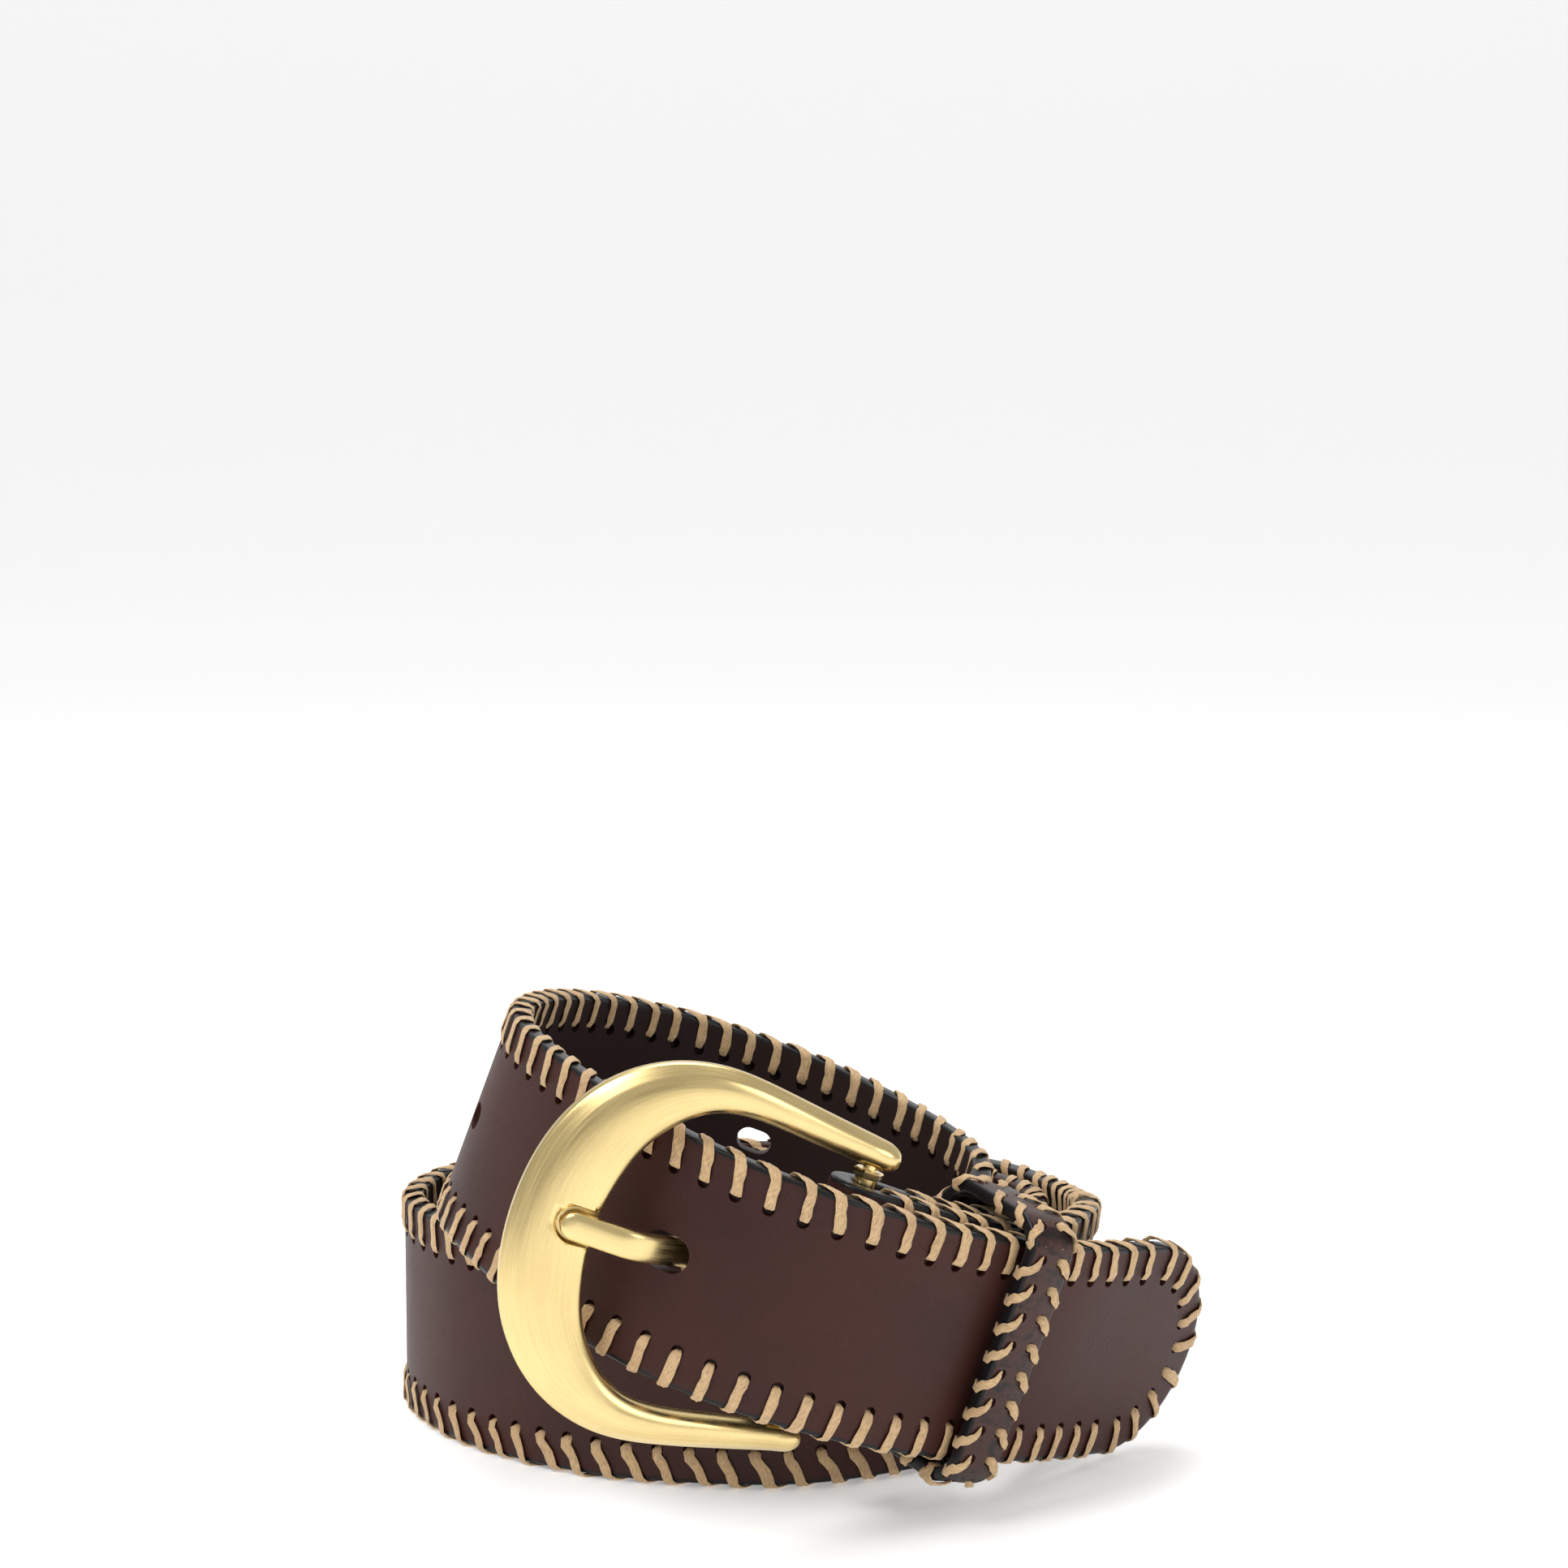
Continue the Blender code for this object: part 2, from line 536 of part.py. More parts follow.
    rings = []
    xs = [-PRONG_EYE * math.cos(math.pi / 2 * k / 5) for k in range(1, 5)]
    xs += [0.0, 1.6, 3.0, 4.4, 6.5, 10.0, 15.0, u_hole - 9]
    xs += [u_hole - 6 + k for k in range(0, 15, 2)]
    xs += [ tip_at - 3.2, tip_at - 1.6, tip_at - 0.6, tip_at]
    xs = sorted(set(round(x, 3) for x in xs))
    for x in xs:
        m = prong_mid(x)
        slope = (prong_mid(x + 0.2) - prong_mid(x - 0.2)) / 0.4
        t = thick * math.sqrt(1 + slope * slope)
        hi, lo_ = m + t, m - t
        if x < PRONG_EYE:
            r = math.sqrt(max(0.0, PRONG_EYE ** 2 - x * x))
            hi, lo_ = (max(hi, r), min(lo_, -r)) if x > 0 else (r, -r)
        wide = PRONG_WIDTH / 2 * (1.0 - 0.08 * max(0.0, x) / tip_at)
        left = tip_at - x
        if left < 2.4:
            f = math.sqrt(max(0.0, 1 - ((2.4 - left) / 2.6) ** 2))
            wide *= f
            mid_, half_ = (hi + lo_) / 2, (hi - lo_) / 2
            hi, lo_ = mid_ + half_ * (0.35 + 0.65 * f) - 0.2 * (1 - f), lo_
        k = min(0.55, (hi - lo_) * 0.3, wide * 0.3)
        rings.append([place(x, z, y) for y, z in (
            (wide, lo_ + k * 0.4), (wide - k * 0.4, lo_), (k * 0.4 - wide, lo_),
            (-wide, lo_ + k * 0.4), (-wide, hi - k * 1.2), (1.6 * k - wide, hi),
            (wide - 1.6 * k, hi), (wide, hi - k * 1.2))])
    prong = make_object("prong", *sweep(rings), brass, 0.25, 1.0)
    cut(prong, [prism(circle(BAR_RADIUS + GAP, 18), bar, u, v, w, -6, 6)])

    # ---- keeper round the three layers
    c0, tk, bk, nk = ribbon.at(BAR_ALONG - KEEPER_AT)
    lows, highs = np.array([1e3, 1e3]), np.array([-1e3, -1e3])
    for s0, lay in ((BAR_ALONG - KEEPER_AT, 0), (end - KEEPER_AT, 0), (end - KEEPER_AT, 1)):
        for s in np.arange(s0 - 16, s0 + 16, 0.5):
            if s > end or (lay and end - s > FLAP_LENGTH):
                continue
            c, t, b, n = ribbon.at(s)
            if lay:
                c = c - flap_spacing(end - s) * n
            for x in (-1, 1):
                for y in (-1, 1):
                    p = c + x * (HALF + COVER) * b + y * (STRAP_THICKNESS / 2 + COVER) * n - c0
                    if abs(p @ tk) < KEEPER_WIDTH / 2 + 1.6:
                        q = np.array([p @ bk, p @ nk])
                        lows, highs = np.minimum(lows, q), np.maximum(highs, q)
    lows -= KEEPER_PLAY + COVER
    highs += KEEPER_PLAY + COVER
    print("keeper opening", np.round(highs - lows, 1))
    mid, size = (lows + highs) / 2, (highs - lows) / 2

    def loop(grow, count=10):
        """Rounded opening grown outward: points with the outward direction."""
        r = 1.8
        hb, hn = size[0] - r, size[1] - r
        out = []
        for quarter, (sb, sn) in enumerate(((1, 1), (-1, 1), (-1, -1), (1, -1))):
            for k in range(6):
                a = math.pi / 2 * (quarter + k / 5)
                db, dn = math.cos(a), math.sin(a)
                sgb, sgn = ((1, 1), (-1, 1), (-1, -1), (1, -1))[quarter]
                out.append((mid[0] + sgb * hb + (r + grow) * db,
                            mid[1] + sgn * hn + (r + grow) * dn, db, dn))
        return out

    def ring_sweep(section):
        rings = []
        for pb, pn, db, dn in loop(0.0):
            rings.append([c0 + (pb + db * g) * bk + (pn + dn * g) * nk + x * tk
                          for x, g in section])
        return sweep(rings, closed=True)

    kw, kt, e = KEEPER_WIDTH / 2, KEEPER_THICKNESS, 0.6
    make_object("keeper", *ring_sweep([
        (-kw, e), (-kw + e, 0), (kw - e, 0), (kw, e), (kw, kt - e), (kw - e, kt),
        (-kw + e, kt), (-kw, kt - e)]), brown, edge)
    for label, sgn in (("left", 1), ("right", -1)):
        x0, x1, x2 = kw - 4.4, kw + LACE_GAP, kw + COVER
        a0, a1 = -LACE_GAP, -COVER
        b0, b1 = kt + LACE_GAP, kt + COVER
        make_object("keeper_lacing_" + label, *ring_sweep([
            (sgn * x0, b0), (sgn * x0, b1), (sgn * x2, b1), (sgn * x2, a1),
            (sgn * x0, a1), (sgn * x0, a0), (sgn * x1, a0), (sgn * x1, b0)]), tan, 0.7)
    return bar


def lathe(profile, origin, ax, ay, az, count=16):
    """Turned solid: radius and height pairs, both ends on the axis."""
    verts, faces, rows = [], [], []
    for r, h in profile:
        if r == 0:
            rows.append([len(verts)])
            verts.append(origin + h * az)
        else:
            rows.append(list(range(len(verts), len(verts) + count)))
            verts += [origin + r * math.cos(2 * math.pi * k / count) * ax
                      + r * math.sin(2 * math.pi * k / count) * ay + h * az for k in range(count)]
    for a, b in zip(rows, rows[1:]):
        for k in range(count):
            j = (k + 1) % count
            if len(a) == 1:
                faces.append((a[0], b[k], b[j]))
            elif len(b) == 1:
                faces.append((a[k], a[j], b[0]))
            else:
                faces.append((a[k], a[j], b[j], b[k]))
    return verts, faces


def main():
    for ob in list(bpy.data.objects):
        bpy.data.objects.remove(ob, do_unlink=True)
    bar = build(strap_path())
    points = np.array([v.co for ob in bpy.data.objects for v in ob.data.vertices])
    low, high = points.min(axis=0), points.max(axis=0)
    shift = Matrix.Translation(Vector((-(low[0] + high[0]) / 2, -(low[1] + high[1]) / 2,
                                       -low[2])))
    pivot = shift.translation + Vector(bar * MM)
    for ob in bpy.data.objects:       # origin at the middle of the footprint
        ob.data.transform(shift)
        ob.data.name = ob.name
        if ob.name in PIVOTED:        # these turn about the heel bar
            ob.data.transform(Matrix.Translation(-pivot))
            ob.location = pivot
    print("heel bar at mm", [round(x * 1000, 2) for x in pivot])


main()
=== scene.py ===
"""Looks of a laced leather belt that stands coiled and buckled.

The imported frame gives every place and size. This script reads the strap's line
out of its solid, then builds the leather with its punched holes, the whip
stitches, the brushed brass buckle, and a plain studio around them.
Lengths are in metres. Distances along the strap start at the tip.
"""
import json
import logging
import math
import random
from dataclasses import dataclass, field
from enum import Enum
from typing import Iterable, Optional, Sequence

import bmesh
import bpy
import numpy as np
from mathutils import Matrix, Vector
from mathutils.kdtree import KDTree

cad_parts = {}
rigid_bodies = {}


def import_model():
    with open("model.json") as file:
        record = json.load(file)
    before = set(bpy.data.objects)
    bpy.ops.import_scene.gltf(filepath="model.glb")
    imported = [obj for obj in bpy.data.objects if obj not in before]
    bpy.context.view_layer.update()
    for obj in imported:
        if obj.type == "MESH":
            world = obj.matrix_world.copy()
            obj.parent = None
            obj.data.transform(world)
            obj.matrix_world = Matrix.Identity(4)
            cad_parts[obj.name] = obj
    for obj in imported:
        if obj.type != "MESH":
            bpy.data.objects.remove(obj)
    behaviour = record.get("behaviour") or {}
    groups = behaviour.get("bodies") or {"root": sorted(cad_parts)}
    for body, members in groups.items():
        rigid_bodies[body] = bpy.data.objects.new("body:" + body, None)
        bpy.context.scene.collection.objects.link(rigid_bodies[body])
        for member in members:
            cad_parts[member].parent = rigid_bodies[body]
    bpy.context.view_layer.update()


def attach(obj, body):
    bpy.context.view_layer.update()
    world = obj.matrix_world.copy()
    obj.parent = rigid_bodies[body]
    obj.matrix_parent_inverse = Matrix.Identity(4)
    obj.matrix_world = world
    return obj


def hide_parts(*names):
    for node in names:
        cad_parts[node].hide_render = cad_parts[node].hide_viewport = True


LOG = logging.getLogger("belt")
MM = 0.001
Points = np.ndarray


# ------------------------------------------------------------------ geometry
def unit(v: Points) -> Points:
    """Vectors at length one."""
    return v / np.maximum(np.linalg.norm(v, axis=-1, keepdims=True), 1e-12)


def spline(knots: Points, values: Points, at: Points) -> Points:
    """Natural cubic spline.

    Args:
        knots: Rising parameter of each row of values.
        values: One row per knot.
        at: Parameters to read.

    Returns:
        One row per entry of at.
    """
    h, n = np.diff(knots), len(knots)
    a, r = np.zeros((n, n)), np.zeros_like(values)
    a[0, 0] = a[-1, -1] = 1
    for i in range(1, n - 1):
        a[i, i - 1:i + 2] = h[i - 1], 2 * (h[i - 1] + h[i]), h[i]
        r[i] = 6 * ((values[i + 1] - values[i]) / h[i] - (values[i] - values[i - 1]) / h[i - 1])
    m = np.linalg.solve(a, r)
    k = np.clip(np.searchsorted(knots, at, side="right") - 1, 0, n - 2)
    u, hk = (at - knots[k])[:, None], h[k][:, None]
    w = hk - u
    return ((m[k] * w ** 3 + m[k + 1] * u ** 3) / (6 * hk)
            + (values[k] / hk - m[k] * hk / 6) * w
            + (values[k + 1] / hk - m[k + 1] * hk / 6) * u)


def node_points(node: str) -> Points:
    """Vertices of a CAD node, in the row frame.

    Args:
        node: Name of the CAD node.

    Returns:
        One row per vertex.
    """
    mesh = bpy.data.objects[node].data
    co = np.empty(len(mesh.vertices) * 3)
    mesh.vertices.foreach_get("co", co)
    return co.reshape(-1, 3)


def principal_axes(points: Points) -> tuple[Points, Points]:
    """Middle and axes of a cloud of points, longest axis first.

    Args:
        points: One row per point.

    Returns:
        The middle, and one row per axis.
    """
    middle = (points.min(axis=0) + points.max(axis=0)) / 2
    _, _, axes = np.linalg.svd(points - points.mean(axis=0), full_matrices=False)
    spans = (points - middle) @ axes.T
    return middle + ((spans.max(axis=0) + spans.min(axis=0)) / 2) @ axes, axes


def make_mesh(name: str, verts: Iterable, faces: Sequence[Sequence[int]],
              material: Optional[bpy.types.Material] = None,
              sharp: float = 40.0) -> bpy.types.Object:
    """A smooth-shaded mesh object with its faces pointing out.

    Args:
        name: Name of the object.
        verts: Points in the row frame.
        faces: Corner numbers of each face.
        material: Its first material.
        sharp: Edges that turn more than this many degrees stay crisp.

    Returns:
        The new object, linked to the scene.
    """
    mesh = bpy.data.meshes.new(name)
    mesh.from_pydata([tuple(map(float, v)) for v in verts], [], [tuple(f) for f in faces])
    ob = bpy.data.objects.new(name, mesh)
    bpy.context.scene.collection.objects.link(ob)
    bm = bmesh.new()
    bm.from_mesh(mesh)
    bmesh.ops.recalc_face_normals(bm, faces=bm.faces)
    if bm.calc_volume(signed=True) < 0:
        bmesh.ops.reverse_faces(bm, faces=bm.faces)
    bm.to_mesh(mesh)
    bm.free()
    if material:
        mesh.materials.append(material)
    mesh.shade_smooth()
    mesh.set_sharp_from_angle(angle=math.radians(sharp))
    return ob


def tube_faces(rings: int, sides: int, closed: bool = False) -> list[tuple[int, ...]]:
    """Faces between rings of points, capped unless the path closes.

    Args:
        rings: How many rings there are.
        sides: Points in each ring.
        closed: Whether the last ring meets the first.

    Returns:
        The corner numbers of each face.
    """
    faces = []
    for i in range(rings if closed else rings - 1):
        a, b = i * sides, ((i + 1) % rings) * sides
        faces += [(a + j, a + (j + 1) % sides, b + (j + 1) % sides, b + j) for j in range(sides)]
    if not closed:
        faces.append(tuple(range(sides)))
        faces.append(tuple((rings - 1) * sides + j for j in range(sides)))
    return faces


def join(name: str, parts: Sequence[bpy.types.Object]) -> bpy.types.Object:
    """Joins separate closed pieces into one object.

    Args:
        name: Name of the joined object.
        parts: What is joined; these are removed.

    Returns:
        The joined object.
    """
    bm = bmesh.new()
    for part in parts:
        bm.from_mesh(part.data)
    mesh = parts[0].data.copy()
    bm.to_mesh(mesh)
    bm.free()
    ob = bpy.data.objects.new(name, mesh)
    bpy.context.scene.collection.objects.link(ob)
    for part in parts:
        bpy.data.objects.remove(part, do_unlink=True)
    return ob


def settle(ob: bpy.types.Object) -> None:
    """Turns an object's modifiers into its plain mesh.

    Args:
        ob: The object; its modifiers are removed.
    """
    graph = bpy.context.evaluated_depsgraph_get()
    mesh = bpy.data.meshes.new_from_object(ob.evaluated_get(graph), depsgraph=graph)
    ob.modifiers.clear()
    ob.data = mesh


def carve(ob: bpy.types.Object, cutter: bpy.types.Object) -> None:
    """Takes the cutter out of an object; the walls keep the cutter's material.

    Args:
        ob: The object to cut.
        cutter: What is taken out; it is removed.
    """
    mod = ob.modifiers.new("carve", "BOOLEAN")
    mod.operation = "DIFFERENCE"
    mod.solver = "MANIFOLD"
    mod.object = cutter
    settle(ob)
    bpy.data.objects.remove(cutter, do_unlink=True)


def round_ended(half_long: float, half_wide: float, steps: int) -> list[tuple[float, float]]:
    """Outline of a slot with half-round ends.

    Args:
        half_long: Half its length.
        half_wide: Half its width.
        steps: Sides of each round end.

    Returns:
        Places along and across the slot.
    """
    arc = [-math.pi / 2 + math.pi * k / steps for k in range(steps + 1)]
    return [(end * (half_long - half_wide + half_wide * math.cos(a)), end * half_wide * math.sin(a))
            for end in (1, -1) for a in arc]


def store(ob: bpy.types.Object, **values: Sequence[float]) -> None:
    """Stores one number per vertex under each name.

    Args:
        ob: The object.
        **values: Name of each attribute to its numbers.
    """
    for key, numbers in values.items():
        ob.data.attributes.new(key, "FLOAT", "POINT").data.foreach_set("value", numbers)


# --------------------------------------------------------------- strap's line
@dataclass
class StrapLine:
    """The strap's centre line and its directions, read from the strap's solid.

    Attributes:
        s: Distance of each station from the tip.
        centre: Middle of the leather at each station.
        across: Direction of the width, pointing up.
    """
    s: Points = field(default_factory=lambda: np.zeros(0))
    centre: Points = field(default_factory=lambda: np.zeros((0, 3)))
    across: Points = field(default_factory=lambda: np.zeros((0, 3)))
    half: float = 0.0
    thick: float = 0.0
    tip: float = 0.0

    CHAMFER_ANGLES = (math.radians(20), math.radians(70))
    SAME_POINT = 2e-6
    STRAIGHT_ON = 0.6           # cosine of the sharpest turn a chamfer edge takes
    LONG_ENOUGH = 0.9           # share of the longest edge that a whole edge has
    FINE = 0.25 * MM

    @classmethod
    def from_node(cls, node: str) -> "StrapLine":
        """Follows the eight chamfer edges that run the length of the strap.

        Args:
            node: Name of the strap's CAD node.

        Returns:
            The strap's line.
        """
        bm = bmesh.new()
        bm.from_mesh(bpy.data.objects[node].data)
        bmesh.ops.remove_doubles(bm, verts=bm.verts, dist=cls.SAME_POINT)
        low, high = cls.CHAMFER_ANGLES
        links: dict[int, list[int]] = {}
        for e in bm.edges:
            if len(e.link_faces) == 2 and low < e.calc_face_angle() < high:
                a, b = e.verts[0].index, e.verts[1].index
                links.setdefault(a, []).append(b)
                links.setdefault(b, []).append(a)
        bm.verts.ensure_lookup_table()
        place = {v.index: np.array(v.co) for v in bm.verts}
        everything = np.array(list(place.values()))
        bm.free()
        chains, seen = [], set()
        for start in [k for k, v in links.items() if len(v) == 1]:
            if start in seen:
                continue
            chain = [start]
            seen.add(start)
            while len(chain) < len(links):
                here = place[chain[-1]]
                ahead = [k for k in links[chain[-1]] if k not in seen]
                if len(chain) > 1:
                    before = unit(here - place[chain[-2]])
                    ahead = [k for k in ahead if unit(place[k] - here) @ before > cls.STRAIGHT_ON]
                    ahead.sort(key=lambda k: -float(unit(place[k] - here) @ before))
                if not ahead:
                    break
                chain.append(ahead[0])
                seen.add(ahead[0])
            chains.append(np.array([place[k] for k in chain]))
        longest = max(len(c) for c in chains)
        chains = [c for c in chains if len(c) > cls.LONG_ENOUGH * longest]
        return cls._from_chains(chains, everything)

    @classmethod
    def _from_chains(cls, chains: list[Points], everything: Points) -> "StrapLine":
        """Lines up the chains ring by ring and measures the section.

        Args:
            chains: Points of each chamfer edge, in order.
            everything: All of the solid's vertices.

        Returns:
            The strap's line.
        """
        first = chains[0]
        chains = [c if np.linalg.norm(c[0] - first[0]) < np.linalg.norm(c[-1] - first[0])
                  else c[::-1] for c in chains]
        count = min(len(c) for c in chains)
        heads = [np.linalg.norm(c[0] - first[0]) for c in chains]
        tails = [np.linalg.norm(c[-1] - first[-1]) for c in chains]
        if max(heads) > max(tails):                      # the tip is the narrow end
            chains = [c[::-1] for c in chains]
        chains = [c[-count:] for c in chains]            # rings match from the folded end
        rings = np.stack(chains, axis=1)
        centre = rings.mean(axis=1)
        upper = [k for k in range(rings.shape[1])
                 if np.median(rings[:, k, 2] - centre[:, 2]) > 0]
        lower = [k for k in range(rings.shape[1]) if k not in upper]
        across = unit(rings[:, upper].mean(axis=1) - rings[:, lower].mean(axis=1))
        spans = np.abs(np.einsum("ijk,ik->ij", rings - centre[:, None], across)).max(axis=1)
        half = float(np.median(spans))
        tangent = unit(np.gradient(centre, axis=0))
        normal = unit(np.cross(across, tangent))
        thick = 2 * float(np.median(
            np.abs(np.einsum("ijk,ik->ij", rings - centre[:, None], normal)).max(axis=1)))

        # the rounded tip goes on past the first ring, along the line's own bend
        ahead = centre[0] - centre[1]
        near = everything[(np.linalg.norm(everything - centre[0], axis=1) < half)
                          & (np.abs((everything - centre[0]) @ normal[0]) < 0.9 * thick)]
        reach = float(((near - centre[0]) @ unit(ahead)).max())
        step = np.linalg.norm(ahead)
        bend = ahead / step - (centre[1] - centre[2]) / np.linalg.norm(centre[1] - centre[2])
        end = centre[0] + unit(ahead) * reach + 0.5 * bend * reach * reach / step
        centre = np.vstack([end, centre])
        across = np.vstack([across[0], across])
        s = np.concatenate([[0], np.cumsum(np.linalg.norm(np.diff(centre, axis=0), axis=1))])
        wide = s[1:][spans > half * 0.999]
        fine = np.arange(0, s[-1], cls.FINE)
        centre_fine, across_fine = spline(s, centre, fine), spline(s, across, fine)
        along = np.concatenate(
            [[0], np.cumsum(np.linalg.norm(np.diff(centre_fine, axis=0), axis=1))])
        return cls(along, centre_fine, unit(across_fine), half, thick, float(wide[0]))

    def at(self, s: float) -> tuple[Points, Points, Points, Points]:
        """Centre, tangent, across and outward at a distance along the strap.

        Args:
            s: Distance from the tip.

        Returns:
            Place and three directions.
        """
        k = int(np.clip(np.searchsorted(self.s, s), 2, len(self.s) - 3))
        f = (s - self.s[k - 1]) / (self.s[k] - self.s[k - 1])
        c = self.centre[k - 1] + f * (self.centre[k] - self.centre[k - 1])
        t = unit(self.centre[k + 1] - self.centre[k - 2])
        b = self.across[k]
        b = unit(b - (b @ t) * t)
        return c, t, b, np.cross(b, t)

    def outline(self, angle: float, inset: float = 0.0) -> tuple[float, float, float, float]:
        """A point of the rounded tip.

        Args:
            angle: -90 to 90 degrees round the tip, in radians, 0 at the very end.
            inset: How far in from the edge.

        Returns:
            Distance along, distance across, and the outward direction's two parts.
        """
        s, x = self.tip * (1 - math.cos(angle)), self.half * math.sin(angle)
        ds, dx = -math.cos(angle) * self.half, math.sin(angle) * self.tip
        size = math.hypot(ds, dx)
        return s - ds / size * inset, x - dx / size * inset, ds / size, dx / size


# ------------------------------------------------------------------ materials
class NodeGraph:
    """A short way to write shader and geometry node trees."""

    def __init__(self, tree: bpy.types.NodeTree) -> None:
        """Starts on a tree, with its nodes cleared."""
        self.tree = tree
        tree.nodes.clear()

    def add(self, kind: str, inputs: Optional[dict] = None, **props) -> bpy.types.Node:
        """Adds a node, sets its properties, and fills or links its inputs.

        Args:
            kind: The node's type name.
            inputs: Socket name or number to a value or an output socket.
            **props: Properties of the node.

        Returns:
            The new node.
        """
        node = self.tree.nodes.new(kind)
        for key, value in props.items():
            setattr(node, key, value)
        for key, value in (inputs or {}).items():
            if isinstance(value, bpy.types.NodeSocket):
                self.tree.links.new(value, node.inputs[key])
            else:
                node.inputs[key].default_value = value
        return node

    def math(self, operation: str, a, b=0.0, clamp: bool = False) -> bpy.types.NodeSocket:
        """A Math node's output."""
        return self.add("ShaderNodeMath", {0: a, 1: b}, operation=operation,
                        use_clamp=clamp).outputs[0]

    def ramp(self, value, *stops: tuple[float, tuple]) -> bpy.types.NodeSocket:
        """A Color Ramp's output, from (position, colour) stops.

        Args:
            value: What is looked up.
            *stops: Position and colour of each stop.

        Returns:
            The colour output.
        """
        node = self.add("ShaderNodeValToRGB", {0: value})
        elements = node.color_ramp.elements
        while len(elements) < len(stops):
            elements.new(0.5)
        for element, (position, colour) in zip(elements, stops):
            element.position, element.color = position, (*colour, 1)
        return node.outputs[0]

    def remap(self, value, low: float, high: float, out_low: float = 0.0,
              out_high: float = 1.0) -> bpy.types.NodeSocket:
        """A clamped Map Range's output."""
        return self.add("ShaderNodeMapRange", {0: value, 1: low, 2: high, 3: out_low,
                                               4: out_high}).outputs[0]

    def blend(self, factor, a, b, mode: str = "MIX") -> bpy.types.NodeSocket:
        """A colour Mix node's output.

        Args:
            factor: Share of b.
            a: First colour.
            b: Second colour.
            mode: How they are mixed.

        Returns:
            The colour output.
        """
        node = self.add("ShaderNodeMix", data_type="RGBA", blend_type=mode)
        for socket, value in ((node.inputs[0], factor), (node.inputs[6], a), (node.inputs[7], b)):
            if isinstance(value, bpy.types.NodeSocket):
                self.tree.links.new(value, socket)
            else:
                socket.default_value = (*value, 1) if isinstance(value, tuple) else value
        return node.outputs[2]


def new_group(name: str, inputs: dict[str, tuple[str, object]],
              outputs: dict[str, str]) -> tuple[bpy.types.NodeTree, NodeGraph, bpy.types.Node]:
    """A shader node group with named sockets.

    Args:
        name: Name of the group.
        inputs: Socket name to its type and default value.
        outputs: Socket name to its type.

    Returns:
        The tree, a graph on it, and its Group Input node.
    """
    tree = bpy.data.node_groups.new(name, "ShaderNodeTree")
    for key, (kind, value) in inputs.items():
        socket = tree.interface.new_socket(key, in_out="INPUT", socket_type=kind)
        socket.default_value = value
    for key, kind in outputs.items():
        tree.interface.new_socket(key, in_out="OUTPUT", socket_type=kind)
    graph = NodeGraph(tree)
    return tree, graph, graph.add("NodeGroupInput")


COLOUR, VALUE = "NodeSocketColor", "NodeSocketFloat"


def grain_group() -> bpy.types.NodeTree:
    """Leather grain: pores, creases between them, and cloudy colour.

    Returns:
        The node group.
    """
    tree, g, source = new_group(
        "leather_grain",
        {"Pore size": (VALUE, 0.45 * MM), "Colour": (COLOUR, (0.05, 0.02, 0.02, 1)),
         "Pore colour": (COLOUR, (0.01, 0.005, 0.005, 1)), "Roughness": (VALUE, 0.45)},
        {"Colour": COLOUR, "Roughness": VALUE, "Height": VALUE})
    where = g.add("ShaderNodeTexCoord").outputs["Object"]
    warp = g.add("ShaderNodeTexNoise", {"Vector": where, "Scale": 900.0, "Detail": 2.0})
    bent = g.add("ShaderNodeMix", {0: 0.0009, 4: where, 5: warp.outputs["Color"]},
                 data_type="VECTOR").outputs[1]
    scale = g.math("DIVIDE", 1.0, source.outputs["Pore size"])
    cells = g.add("ShaderNodeTexVoronoi", {"Vector": bent, "Scale": scale}, feature="F1")
    pore = g.remap(cells.outputs["Distance"], 0.10, 0.34, 1.0, 0.0)
    edges = g.add("ShaderNodeTexVoronoi", {"Vector": bent, "Scale": g.math("MULTIPLY", scale, 0.8)},
                  feature="DISTANCE_TO_EDGE")
    crease = g.remap(edges.outputs["Distance"], 0.0, 0.16, 1.0, 0.0)
    pick = g.add("ShaderNodeTexNoise", {"Vector": where, "Scale": 260.0, "Detail": 3.0})
    shown = g.remap(pick.outputs["Fac"], 0.35, 0.6)
    pore = g.math("MULTIPLY", pore, shown)
    cloud = g.add("ShaderNodeTexNoise", {"Vector": where, "Scale": 38.0, "Detail": 4.0})
    shade = g.ramp(cloud.outputs["Fac"], (0.3, (0.78, 0.78, 0.8)), (0.7, (1.2, 1.15, 1.12)))
    base = g.blend(1.0, source.outputs["Colour"], shade, "MULTIPLY")
    base = g.blend(g.math("MULTIPLY", pore, 0.75), base, source.outputs["Pore colour"])
    rough = g.math("ADD", source.outputs["Roughness"],
                   g.remap(cloud.outputs["Fac"], 0.2, 0.8, -0.05, 0.07))
    rough = g.math("ADD", rough, g.math("MULTIPLY", pore, 0.18), clamp=True)
    height = g.math("SUBTRACT", g.remap(pick.outputs["Fac"], 0.3, 0.7, 0.0, 0.35),
                    g.math("ADD", pore, g.math("MULTIPLY", crease, 0.35)))
    g.add("NodeGroupOutput", {"Colour": base, "Roughness": rough, "Height": height})
    return tree


